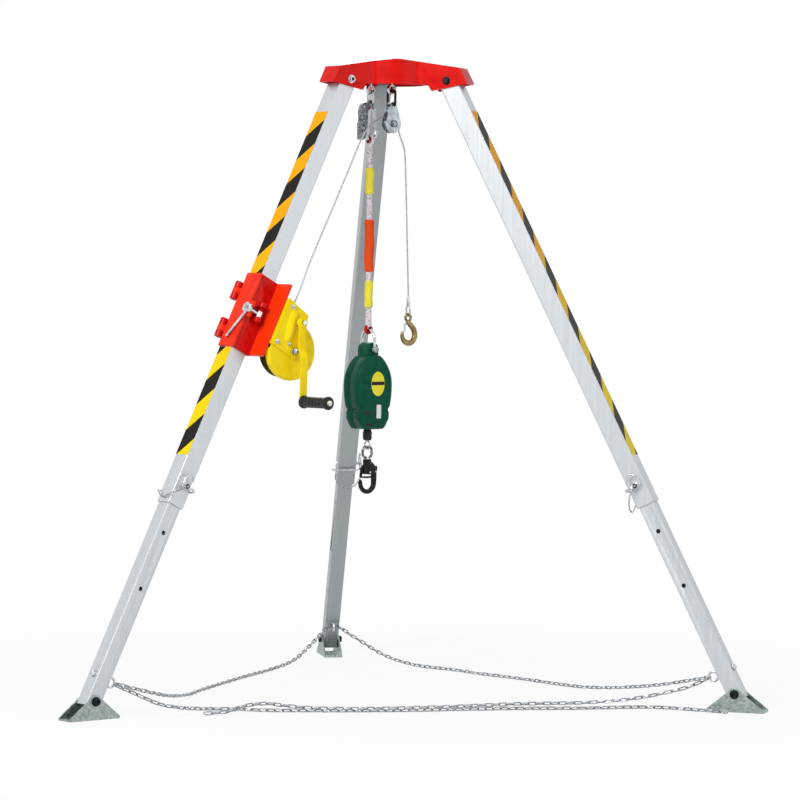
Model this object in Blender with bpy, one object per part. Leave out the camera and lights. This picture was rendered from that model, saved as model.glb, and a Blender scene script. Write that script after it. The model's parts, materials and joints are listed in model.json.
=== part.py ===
"""Rescue tripod: a cast head with three folding, telescoping legs on tilting shoes, a clamped hand winch whose
cable runs over a pulley to a hook, and a fall-arrest block on a rope sling. Metres, +Z up. The origin is on
the floor, below the middle of the footprint. Each leg has its own frame: X is the outward normal of the leg's
outer face, Y runs across the leg and Z runs up the leg, with the pivot at 0. The hanging gear has a frame of
its own, turned so that X lies across the pulley's face and Y along its axle."""

import math

import bmesh
import bpy
from mathutils import Matrix, Vector

GAP = 0.0003
LEG_ANGLE = math.radians(26.83)
LEG_AZIMUTHS = {"left": 210, "right": 330, "rear": 90}
PIN_SIDE = {"left": 1, "right": -1, "rear": -1}
PIVOT_RADIUS = 0.1945
PIVOT_HEIGHT = 1.9283
HANGING_TURN = math.radians(LEG_AZIMUTHS["left"] - 180)

OUTER_SIZE = 0.060
OUTER_WALL = 0.0047
OUTER_LENGTH = 1.4605
INNER_WALL = 0.004
TUBE_CORNER = 0.004
OVERLAP = 0.360
PIN_PLACE = 1.395
FIRST_HOLE = 0.155
SECOND_HOLE = 0.339
PIN_HOLE = 0.0075
SHOE_PIVOT_HEIGHT = 0.055
FOOT_PIVOT = (PIVOT_HEIGHT - SHOE_PIVOT_HEIGHT) / math.cos(LEG_ANGLE)
CHAIN_EYE_LIFT = 0.0773
CHAIN_EYE_PLACE = FOOT_PIVOT - CHAIN_EYE_LIFT

HEAD_WALL = 0.006
HEAD_ROOF = 0.067
HUB_RADIUS = 0.103
HUB_SKIRT = -0.011
HUB_FILLET = 0.022
ROOF_FLAT = 0.060
ROOF_SLOPE = 0.15
ARM_REACH = 0.057
ARM_SKIRT = -0.009
ARM_SKIRT_LOW = -0.031
SKIRT_STEP = 0.138
SKIRT_STEP_RUN = 0.012
HUB_OPEN = 0.085

PIVOT_BOLT = 0.006
EYE_WIRE = 0.0045
EYE_RADIUS = 0.0135
EYE_HEIGHT = -0.0233

SHOE_PLATE = 0.005
SHOE_PLAY = 0.0008
SHOE_APEX = 0.020
SHOE_OUT = 0.092
SHOE_IN = 0.088

CLAMP_PLATE = 0.006
CLAMP_TOP = 0.695
CLAMP_BOTTOM = 0.941
DOOR_PLATE = 0.008
FLANGE_PLATE = 0.009
FLANGE_REACH = 0.099

DRUM_PLACE = 0.875
DRUM_DEPTH = -0.132
CRANK_PLACE = 0.789
CRANK_DEPTH = -0.108
WINDING_RADIUS = 0.058
FLANGE_RADIUS = 0.080
COVER_RADIUS = 0.090
COVER_WALL = 0.003
CRANK_LENGTH = 0.255
CRANK_LEAN = math.radians(24.93)
PINION_TEETH = 6
GEAR_TEETH = 36

CABLE = 0.0025
CHAIN = 0.007
REAR_CHAIN_LEFT_START = 0.0180
REAR_CHAIN_RIGHT_START = 0.0162
FRONT_CHAIN_LEFT_START = 0.0158
FRONT_CHAIN_RIGHT_START = 0.0178

SHEAVE_DROP = 0.1318
SHEAVE_HEIGHT = PIVOT_HEIGHT - SHEAVE_DROP
SHEAVE_GROOVE = 0.0235
SHEAVE_RADIUS = 0.027
CHEEK_RADIUS = 0.030
CHEEK_HOLE_RISE = 0.0565
CHEEK_HOLE_HEIGHT = SHEAVE_HEIGHT + CHEEK_HOLE_RISE
LINK_WIRE = 0.004

SNAP_DROP = 0.0675
SNAP_TOP = PIVOT_HEIGHT - SNAP_DROP
SNAP_WIRE = 0.0062
SNAP_LENGTH = 0.1118
SNAP_SEAT = SNAP_TOP - SNAP_LENGTH
SNAP_HALF_WIDTH = 0.0290

SLING_X = -0.0315
SLING_Y = 0.0655
ROPE_RADIUS = 0.0098
SLING_LENGTH = 0.599
ROPE_LOOP_HEIGHT = SNAP_SEAT - SLING_LENGTH
SLEEVE_START = 0.254
SLEEVE_LENGTH = 0.1635
SHACKLE_LENGTH = 0.064
BLOCK_BOLT_HEIGHT = ROPE_LOOP_HEIGHT - SHACKLE_LENGTH
BLOCK_DEPTH = 0.252
CHAMBER_DEPTH = 0.116
SWIVEL_DEPTH = 0.090
BLOCK_THICKNESS = 0.080
LUG_HALF = 0.025

HOOK_X = 0.077
FERRULE_TOP = 0.0654
FERRULE_SEAT = 0.0436
CABLE_PLAY = 0.0001
HOOK_DROP = 0.6089
HOOK_EYE_HEIGHT = SHEAVE_HEIGHT - HOOK_DROP

COLOURS = {
    "red": ((0.74, 0.010, 0.006), 0.35, 0.0),
    "orange": ((0.87, 0.10, 0.02), 0.4, 0.0),
    "yellow": ((1.0, 0.75, 0.0), 0.4, 0.0),
    "green": ((0.005, 0.08, 0.045), 0.5, 0.0),
    "aluminium": ((0.75, 0.76, 0.77), 0.35, 1.0),
    "zinc": ((0.42, 0.46, 0.46), 0.45, 1.0),
    "steel": ((0.55, 0.56, 0.57), 0.3, 1.0),
    "black": ((0.012, 0.012, 0.013), 0.5, 0.0),
    "brass": ((0.38, 0.25, 0.08), 0.4, 1.0),
    "white": ((0.75, 0.74, 0.70), 0.8, 0.0),
}


def material(key):
    """The plain finish of one colour group."""
    found = bpy.data.materials.get(key)
    if found:
        return found
    colour, roughness, metallic = COLOURS[key]
    made = bpy.data.materials.new(key)
    made.use_nodes = True
    surface = made.node_tree.nodes["Principled BSDF"]
    surface.inputs["Base Color"].default_value = (*colour, 1.0)
    surface.inputs["Roughness"].default_value = roughness
    surface.inputs["Metallic"].default_value = metallic
    return made


def new_object(mesh, name="shape"):
    made = bpy.data.objects.new(name, mesh)
    bpy.context.scene.collection.objects.link(made)
    return made


def from_bmesh(shape):
    """An object holding the bmesh, with its faces pointing out."""
    bmesh.ops.recalc_face_normals(shape, faces=shape.faces)
    mesh = bpy.data.meshes.new("shape")
    shape.to_mesh(mesh)
    shape.free()
    return new_object(mesh)


def box(x, y, z):
    """A block between two values on each axis."""
    shape = bmesh.new()
    bmesh.ops.create_cube(shape, size=1.0)
    size = [high - low for low, high in (x, y, z)]
    centre = [(high + low) / 2 for low, high in (x, y, z)]
    bmesh.ops.scale(shape, vec=size, verts=shape.verts)
    bmesh.ops.translate(shape, vec=centre, verts=shape.verts)
    return from_bmesh(shape)


def prism(outline, low, high, axis="Y"):
    """A flat outline given on the other two axes, in their order, drawn out along one axis."""
    place = {
        "X": lambda a, b: (low, a, b),
        "Y": lambda a, b: (a, low, b),
        "Z": lambda a, b: (a, b, low),
    }[axis]
    along = {"X": (1, 0, 0), "Y": (0, 1, 0), "Z": (0, 0, 1)}[axis]
    shape = bmesh.new()
    face = shape.faces.new([shape.verts.new(place(a, b)) for a, b in outline])
    grown = bmesh.ops.extrude_face_region(shape, geom=[face])
    moved = [item for item in grown["geom"] if isinstance(item, bmesh.types.BMVert)]
    bmesh.ops.translate(shape, vec=Vector(along) * (high - low), verts=moved)
    return from_bmesh(shape)


TURN_TO = {
    "X": Matrix.Rotation(math.pi / 2, 4, "Y"),
    "Y": Matrix.Rotation(-math.pi / 2, 4, "X"),
    "Z": Matrix.Identity(4),
}


def turned(profile, sides=16, axis="Z", centre=(0, 0, 0)):
    """A profile of (radius, height) points spun round an axis. It is closed unless both ends lie on the axis."""
    shape = bmesh.new()
    verts = [shape.verts.new((radius, 0, height)) for radius, height in profile]
    edges = [shape.edges.new(pair) for pair in zip(verts, verts[1:])]
    if profile[0][0] > 0 or profile[-1][0] > 0:
        edges.append(shape.edges.new((verts[-1], verts[0])))
    bmesh.ops.spin(
        shape, geom=verts + edges, cent=(0, 0, 0), axis=(0, 0, 1), angle=2 * math.pi, steps=sides, use_merge=True
    )
    bmesh.ops.remove_doubles(shape, verts=shape.verts, dist=1e-6)
    bmesh.ops.transform(shape, matrix=Matrix.Translation(centre) @ TURN_TO[axis], verts=shape.verts)
    return from_bmesh(shape)


def rod(radius, low, high, axis="Z", centre=(0, 0, 0), sides=12):
    """A round bar between two values on its axis."""
    return turned([(0, low), (radius, low), (radius, high), (0, high)], sides, axis, centre)


def ring_profile(inner, outer, low, high):
    return [(inner, low), (outer, low), (outer, high), (inner, high)]


def wire(points, radius, closed=False, resolution=2, radii=None):
    """A bar along a path, as a mesh, with flat ends unless the path closes."""
    curve = bpy.data.curves.new("wire", "CURVE")
    curve.dimensions = "3D"
    curve.bevel_depth = radius
    curve.bevel_resolution = resolution
    curve.use_fill_caps = True
    line = curve.splines.new("POLY")
    line.points.add(len(points) - 1)
    for index, (place, point) in enumerate(zip(points, line.points)):
        point.co = (*place, 1.0)
        point.radius = radii[index] / radius if radii else 1.0
    line.use_cyclic_u = closed
    guide = new_object(curve)
    graph = bpy.context.evaluated_depsgraph_get()
    mesh = bpy.data.meshes.new_from_object(guide.evaluated_get(graph))
    bpy.data.objects.remove(guide)
    shape = bmesh.new()
    shape.from_mesh(mesh)
    bmesh.ops.remove_doubles(shape, verts=shape.verts, dist=1e-6)
    return from_bmesh(shape)


def arc(centre, radius, start, end, steps, plane="XZ"):
    """Points along an arc in a plane, angles in degrees from the plane's first axis."""
    points = []
    for index in range(steps + 1):
        angle = math.radians(start + (end - start) * index / steps)
        across, up = radius * math.cos(angle), radius * math.sin(angle)
        offset = (across, 0, up) if plane == "XZ" else (0, across, up)
        points.append(tuple(c + o for c, o in zip(centre, offset)))
    return points


def combine(base, tools, operation):
    """Joins or cuts the base with the tools, which are used up."""
    for tool in tools:
        step = base.modifiers.new("step", "BOOLEAN")
        step.operation = operation
        step.solver = "EXACT"
        step.object = tool
    graph = bpy.context.evaluated_depsgraph_get()
    base.data = bpy.data.meshes.new_from_object(base.evaluated_get(graph))
    base.modifiers.clear()
    for tool in tools:
        bpy.data.objects.remove(tool)
    return base


def join(base, *tools):
    return combine(base, tools, "UNION")


def cut(base, *tools):
    return combine(base, tools, "DIFFERENCE")


def node(name, shape, colour, parent, place=(0, 0, 0)):
    """Turns a shape into a named sub-part under its frame, its origin at place."""
    shape.name = name
    shape.data.name = name
    shape.data.transform(Matrix.Translation([-value for value in place]))
    shape.location = place
    shape.parent = parent
    shape.data.materials.clear()
    shape.data.materials.append(material(colour))
    shape.data.shade_smooth()
    shape.data.set_sharp_from_angle(angle=math.radians(35))
    return shape


def empty(name, location, rotation=(0, 0, 0), parent=None):
    made = bpy.data.objects.new(name, None)
    bpy.context.scene.collection.objects.link(made)
    made.location = location
    made.rotation_euler = rotation
    made.parent = parent
    return made


def rounded_square(half, corner, steps=2):
    """Outline of a square with round corners."""
    points = []
    for turn in range(4):
        middle = math.radians(45 + 90 * turn)
        cx = math.copysign(half - corner, math.cos(middle))
        cy = math.copysign(half - corner, math.sin(middle))
        for index in range(steps + 1):
            angle = math.radians(90 * turn + 90 * index / steps)
            points.append((cx + corner * math.cos(angle), cy + corner * math.sin(angle)))
    return points


def hexagon(across_corners):
    return [
        (across_corners * math.cos(math.radians(60 * k)), across_corners * math.sin(math.radians(60 * k)))
        for k in range(6)
    ]


def foot_reach():
    """How far a foot pivot stands from the tripod's axis."""
    return PIVOT_RADIUS + FOOT_PIVOT * math.sin(LEG_ANGLE)


INNER_SIZE = OUTER_SIZE - 2 * OUTER_WALL - 2 * GAP
SHOE_HALF = INNER_SIZE / 2 + SHOE_PLAY + SHOE_PLATE
REAR_EDGE = foot_reach() + SHOE_OUT
FRONT_EDGE = -(foot_reach() + SHOE_OUT) * math.sin(math.radians(30)) - SHOE_HALF * math.cos(math.radians(30))
AXIS_Y = -(REAR_EDGE + FRONT_EDGE) / 2
ARM_INNER = OUTER_SIZE / 2 + 0.0005
ARM_HALF = ARM_INNER + HEAD_WALL


def make_frames():
    """Empties on the tripod's axis, on each leg's pivot and for the hanging gear."""
    axis = empty("tripod_axis", (0, AXIS_Y, 0))
    legs = {}
    for side, azimuth in LEG_AZIMUTHS.items():
        turn = math.radians(azimuth)
        place = (PIVOT_RADIUS * math.cos(turn), PIVOT_RADIUS * math.sin(turn), PIVOT_HEIGHT)
        legs[side] = empty(f"leg_frame_{side}", place, (0, -LEG_ANGLE, turn), axis)
    hanging = empty("hanging_frame", (0, 0, 0), (0, 0, HANGING_TURN), axis)
    return axis, legs, hanging


def leg_line(distance, along):
    """Radius and height, from the pivot, of a point on a line parallel to the leg, set out from its middle."""
    radius = PIVOT_RADIUS + distance * math.cos(LEG_ANGLE) + along * math.sin(LEG_ANGLE)
    return radius, distance * math.sin(LEG_ANGLE) - along * math.cos(LEG_ANGLE)


def roof_at(radius, drop=0.0):
    return HEAD_ROOF - drop - ROOF_SLOPE * max(0.0, radius - ROOF_FLAT)


def roof_meets(distance, drop=0.0):
    """Where a line parallel to the leg meets the sloping roof, or its underside."""
    radius, height = leg_line(distance, 0)
    rise = roof_at(radius, drop) - height
    return leg_line(distance, rise / (ROOF_SLOPE * math.sin(LEG_ANGLE) - math.cos(LEG_ANGLE)))


def head_plan(reach, hub, half):
    """Plan of the head: a round hub with three arms and a fillet in each corner."""
    across = half + HUB_FILLET
    along = math.sqrt((hub + HUB_FILLET) ** 2 - across**2)
    start = math.degrees(math.atan2(across, along))
    points = []
    for azimuth in (90, 210, 330):
        side = [(reach, half)]
        for index in range(6):
            angle = math.radians(-90 - (90 - start) * index / 5)
            side.append((along + HUB_FILLET * math.cos(angle), across + HUB_FILLET * math.sin(angle)))
        for index in range(1, 6):
            angle = math.radians(start + (120 - 2 * start) * index / 6)
            side.append((hub * math.cos(angle), hub * math.sin(angle)))
        opposite = [(x, -y) for x, y in reversed(side[:7])]
        turn = math.radians(azimuth)
        for x, y in opposite + side:
            points.append((x * math.cos(turn) - y * math.sin(turn), x * math.sin(turn) + y * math.cos(turn)))
    return points


def along_arm(shape, azimuth):
    shape.data.transform(Matrix.Rotation(math.radians(azimuth), 4, "Z"))
    return shape


def make_head(axis):
    """The hub and its three hollow arms, open below, with a stop plate for each leg."""
    low = -0.08
    shell = prism(head_plan(0.30, HUB_RADIUS, ARM_HALF), ARM_SKIRT_LOW, HEAD_ROOF, "Z")
    step_end = SKIRT_STEP + SKIRT_STEP_RUN
    skirt = [(0, HUB_SKIRT), (SKIRT_STEP, HUB_SKIRT), (step_end, ARM_SKIRT_LOW), (step_end, low), (0, low)]
    cutters = [turned(skirt, 30)]
    hollows = []
    end_top = roof_meets(ARM_REACH)
    end_low = leg_line(ARM_REACH, (ARM_REACH * math.sin(LEG_ANGLE) - ARM_SKIRT) / math.cos(LEG_ANGLE))
    pockets = (
        (OUTER_SIZE / 2 + GAP, None),
        (ARM_REACH - HEAD_WALL, OUTER_SIZE / 2 + GAP + HEAD_WALL),
    )
    for azimuth in LEG_AZIMUTHS.values():
        top = [(ROOF_FLAT, HEAD_ROOF), end_top, end_low, (0.33, -0.05), (0.33, 0.10)]
        cutters.append(along_arm(prism(top + [(ROOF_FLAT, 0.10)], -0.14, 0.14), azimuth))
        below = [(step_end - 0.001, ARM_SKIRT_LOW - 0.0002), end_low, (0.33, 0.004), (0.33, low)]
        cutters.append(along_arm(prism(below + [(step_end - 0.001, low)], -0.05, 0.05), azimuth))
        for outer, inner in pockets:
            far_low = leg_line(outer, 0.12)
            far_top = roof_meets(outer, HEAD_WALL)
            near_low = leg_line(inner, 0.12) if inner else (HUB_OPEN, far_low[1])
            near_top = roof_meets(inner, HEAD_WALL) if inner else (HUB_OPEN, roof_at(HUB_OPEN, HEAD_WALL))
            pocket = prism([near_low, near_top, far_top, far_low], -ARM_INNER, ARM_INNER)
            hollows.append(along_arm(pocket, azimuth))
        bolt_hole = rod(PIVOT_BOLT + GAP, -0.06, 0.06, "Y", (PIVOT_RADIUS, 0, 0))
        hollows.append(along_arm(bolt_hole, azimuth))
    cavity_top = roof_at(HUB_RADIUS - HEAD_WALL, HEAD_WALL)
    hollows.append(rod(HUB_RADIUS - HEAD_WALL, low, cavity_top, sides=30))
    hollows.append(rod(0.005 + GAP, 0.03, 0.10, sides=12))
    place = Matrix.Rotation(HANGING_TURN, 3, "Z") @ Vector((SLING_X, SLING_Y, 0))
    hollows.append(rod(0.005 + GAP, 0.03, cavity_top + 0.008, centre=place, sides=12))
    cut(shell, *cutters)
    cut(shell, *hollows)
    shell.data.transform(Matrix.Translation((0, 0, PIVOT_HEIGHT)))
    node("head_shell", shell, "red", axis, (0, 0, PIVOT_HEIGHT))


def socket_bolt(radius, head, length, far, nut):
    """A bolt along Y with a socket head and washer at +Y, and a nut at the far end."""
    washer = head + 0.0035
    profile = [(0, far - 0.003), (radius, far - 0.003), (radius, length), (washer, length)]
    profile += [(washer, length + 0.002), (head, length + 0.002), (head, length + 0.010), (0, length + 0.010)]
    body = turned(profile, 12, "Y")
    socket = prism(hexagon(head * 0.55), length + 0.005, length + 0.02, "Y")
    grip = prism(hexagon(nut), far, far - 0.008, "Y")
    return join(cut(body, socket), grip)


def outer_leg(side, frame):
    """Square tube with a round top, bored for its pivot bolt and its lock pin."""
    half = OUTER_SIZE / 2
    bore = half - OUTER_WALL
    tube = prism(rounded_square(half, TUBE_CORNER), -OUTER_LENGTH, half, "Z")
    hollow = prism(rounded_square(bore, 0.001, 1), -OUTER_LENGTH - 0.01, half + 0.01, "Z")
    top = arc((0, 0, 0), half, 0, 180, 16)
    crown = [(x, z) for x, _, z in top]
    crown = [(half + 0.01, 0)] + crown + [(-half - 0.01, 0), (-half - 0.01, half + 0.01), (half + 0.01, half + 0.01)]
    pivot = rod(PIVOT_BOLT + GAP, -0.05, 0.05, "Y")
    pin = rod(PIN_HOLE, -0.05, 0.05, "Y", (0, 0, -PIN_PLACE))
    cut(tube, hollow, prism(crown, -0.05, 0.05), pivot, pin)
    node(f"outer_leg_{side}", tube, "aluminium", frame)


def inner_leg(side, frame):
    """Square tube with lock holes, a bolt hole at the foot and a hole for the chain eye."""
    half = INNER_SIZE / 2
    top = -(OUTER_LENGTH - OVERLAP)
    bottom = -(FOOT_PIVOT + 0.020)
    tube = prism(rounded_square(half, TUBE_CORNER - 0.001), bottom, top, "Z")
    hollow = prism(rounded_square(half - INNER_WALL, 0.001, 1), bottom - 0.01, top + 0.01, "Z")
    holes = [
        rod(PIN_HOLE, -0.05, 0.05, "Y", (0, 0, -(PIN_PLACE + step)), 8) for step in (0, FIRST_HOLE, SECOND_HOLE)
    ]
    foot = rod(PIVOT_BOLT + GAP, -0.05, 0.05, "Y", (0, 0, -FOOT_PIVOT), 16)
    eye = rod(0.004 + GAP, -0.05, 0.05, "X", (0, 0, -CHAIN_EYE_PLACE), 8)
    cut(tube, hollow, foot, eye, *holes)
    node(f"inner_leg_{side}", tube, "aluminium", frame, (0, 0, -FOOT_PIVOT))


def lock_pin(side, frame):
    """Spring pin with collar, black knob and a wire ring, on the side that faces the front."""
    way = PIN_SIDE[side]
    half = OUTER_SIZE / 2
    start = half - OUTER_WALL + GAP
    profile = [(0, start), (PIN_HOLE - GAP, start), (PIN_HOLE - GAP, half + GAP), (0.010, half + GAP)]
    profile += [(0.010, half + 0.006), (0.0065, half + 0.006), (0.0065, half + 0.022), (0, half + 0.022)]
    body = turned(profile, 16, "Y")
    base = half + 0.016
    loop = [(0.0, base, -0.004), (0.014, base, -0.002), (0.017, base, 0.012), (0.013, base, 0.030)]
    loop += [(0.0, base, 0.040), (-0.013, base, 0.030), (-0.017, base, 0.012), (-0.014, base, -0.002)]
    join(body, wire(loop, 0.0015, True, 1))
    if way < 0:
        body.data.transform(Matrix.Rotation(math.pi, 4, "Z"))
    body.data.transform(Matrix.Translation((0, 0, -PIN_PLACE)))
    node(f"lock_pin_{side}", body, "steel", frame, (0, 0, -PIN_PLACE))


def shoe(side, frame, legs_axis):
    """Bent plate: a flat sole, two three-cornered cheeks round the tube, and a low wall on the inner end."""
    azimuth = math.radians(LEG_AZIMUTHS[side])
    reach = foot_reach()
    inner = INNER_SIZE / 2 + SHOE_PLAY
    outer = SHOE_HALF
    rise = SHOE_PIVOT_HEIGHT
    lean = math.degrees(math.atan2(rise, SHOE_OUT))
    outline = [(-SHOE_IN, 0.0), (SHOE_OUT, 0.0), (SHOE_OUT, 0.008)]
    outline += [(x, z) for x, _, z in arc((0, 0, rise), SHOE_APEX, lean, 180 - lean, 10)]
    outline += [(-SHOE_IN, 0.008)]
    body = prism(outline, -outer, outer)
    room = [(-0.056, SHOE_PLATE), (0.10, SHOE_PLATE), (0.10, 0.09), (-0.10, 0.09), (-0.10, 0.049)]
    cut(body, prism(room, -inner, inner), rod(PIVOT_BOLT + GAP, -0.05, 0.05, "Y", (0, 0, rise), 14))
    place = (reach * math.cos(azimuth), reach * math.sin(azimuth), 0)
    holder = empty(f"shoe_frame_{side}", place, (0, 0, azimuth), legs_axis)
    node(f"foot_shoe_{side}", body, "zinc", holder, (0, 0, rise))
    far = -outer - GAP
    bolt = socket_bolt(PIVOT_BOLT, 0.011, outer + GAP, far, 0.011)
    if PIN_SIDE[side] < 0:
        bolt.data.transform(Matrix.Rotation(math.pi, 4, "Z"))
    bolt.data.transform(Matrix.Translation((0, 0, rise)))
    node(f"foot_bolt_{side}", bolt, "black", holder, (0, 0, rise))


def chain_eye(side, frame):
    """Eye bolt through the tube, its ring on the inner side and a domed nut outside."""
    half = INNER_SIZE / 2
    start = -half - 0.004
    ring_at = start - 0.0145
    profile = [(0, start - 0.002), (0.004, start - 0.002), (0.004, half + GAP), (0.0105, half + GAP)]
    profile += [(0.0105, half + 0.004), (0.007, half + 0.010), (0, half + 0.012)]
    body = turned(profile, 12, "X")
    collar = rod(0.008, start, -half - GAP, "X")
    ring = wire(arc((ring_at, 0, 0), 0.0145, 0, 330, 11), 0.004, True, 1)
    join(body, collar, ring)
    body.data.transform(Matrix.Translation((0, 0, -CHAIN_EYE_PLACE)))
    node(f"chain_eye_{side}", body, "steel", frame, (0, 0, -CHAIN_EYE_PLACE))


def make_legs(axis, legs):
    for side, frame in legs.items():
        bolt = socket_bolt(PIVOT_BOLT, 0.0095, ARM_HALF + GAP, -ARM_HALF - GAP, 0.010)
        if side == "right":
            bolt.data.transform(Matrix.Rotation(math.pi, 4, "Z"))
        node(f"pivot_bolt_{side}", bolt, "steel", frame)
        outer_leg(side, frame)
        inner_leg(side, frame)
        lock_pin(side, frame)
        shoe(side, frame, axis)
        chain_eye(side, frame)


def make_clamp(frame):
    """Two-part clamp on the left leg: a saddle with the winch flange, a hinged door, a swing bolt and its nut."""
    half = OUTER_SIZE / 2
    inner = half + GAP
    outer = inner + CLAMP_PLATE
    span = (-CLAMP_BOTTOM, -CLAMP_TOP)
    knuckles = ((0.729, 0.787), (0.853, 0.915))
    hinge = (0.041, -0.045)
    knuckle = 0.0122
    saddle = join(
        box((-outer, half - 0.0005), (inner, outer), span),
        box((-outer, -inner), (-outer, outer), span),
        box((-outer, half - 0.002), (-outer, -inner), span),
        box((-outer - FLANGE_PLATE, -outer + 0.001), (-outer, FLANGE_REACH), (-0.937, -CLAMP_TOP)),
    )
    saddle_parts = []
    door_parts = []
    door_bores = []
    for start, end in knuckles:
        third = (end - start) / 3
        for index in range(3):
            high = -(start + third * index) - GAP / 2
            low = -(start + third * (index + 1)) + GAP / 2
            centre = (hinge[0], hinge[1], 0)
            if index == 1:
                door_parts.append(rod(knuckle, low, high, "Z", centre, 12))
                door_parts.append(box((inner, inner + DOOR_PLATE), (hinge[1], -0.030), (low, high)))
                door_bores.append(rod(0.0045, low - 0.001, high + 0.001, "Z", centre, 10))
            else:
                saddle_parts.append(rod(knuckle, low, high, "Z", centre, 12))
                saddle_parts.append(box((0.0, hinge[0]), (hinge[1], -outer + 0.001), (low, high)))
        saddle_parts.append(rod(0.0042, -end - 0.002, -start + 0.002, "Z", (hinge[0], hinge[1], 0), 8))
    lug = (-0.005, 0.050)
    for low, high in ((-0.793, -0.778), (-0.841, -0.826)):
        saddle_parts.append(rod(0.013, low, high, "Z", (lug[0], lug[1], 0), 14))
        saddle_parts.append(box((lug[0] - 0.013, lug[0] + 0.013), (outer - 0.002, lug[1]), (low, high)))
    saddle_parts.append(rod(0.0042, -0.843, -0.776, "Z", (lug[0], lug[1], 0), 10))
    join(saddle, *saddle_parts)
    node("clamp_saddle", saddle, "red", frame, (0, 0, -0.816))
    door = box((inner, inner + DOOR_PLATE), (-0.0305, 0.040), span)
    for low, high in ((-0.806, -0.790), (-0.842, -0.826)):
        door_parts.append(box((inner, inner + 0.0092), (0.035, 0.062), (low, high)))
    join(door, *door_parts)
    cut(door, *door_bores)
    node("clamp_door", door, "red", frame, (hinge[0], hinge[1], -0.816))
    seat = inner + 0.0092 + GAP
    stem = rod(0.005, lug[0] + 0.008, seat + 0.020, "X", (0, lug[1], -0.816), 14)
    eye = turned(ring_profile(0.0045, 0.010, -0.8255, -0.8065), 18, "Z", (lug[0], lug[1], 0))
    eye = cut(eye, box((-0.02, 0.01), (0.03, 0.07), (-0.84, -0.8254)))
    node("clamp_bolt", join(eye, stem), "steel", frame, (lug[0], lug[1], -0.816))
    nut = turned(ring_profile(0.0053, 0.016, seat, seat + 0.012), 20, "X", (0, lug[1], -0.816))
    bar_start = (seat + 0.0075, 0.066, -0.8065)
    bar_end = (seat + 0.0075, 0.004, -0.914)
    boss = Vector((seat + 0.0075, lug[1], -0.816))
    bar = wire([bar_start, bar_end], 0.0045, resolution=2)
    hole = rod(0.0053, seat - 0.001, seat + 0.03, "X", (0, lug[1], -0.816), 14)
    node("clamp_handle", cut(join(nut, bar), hole), "steel", frame, tuple(boss))


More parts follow.
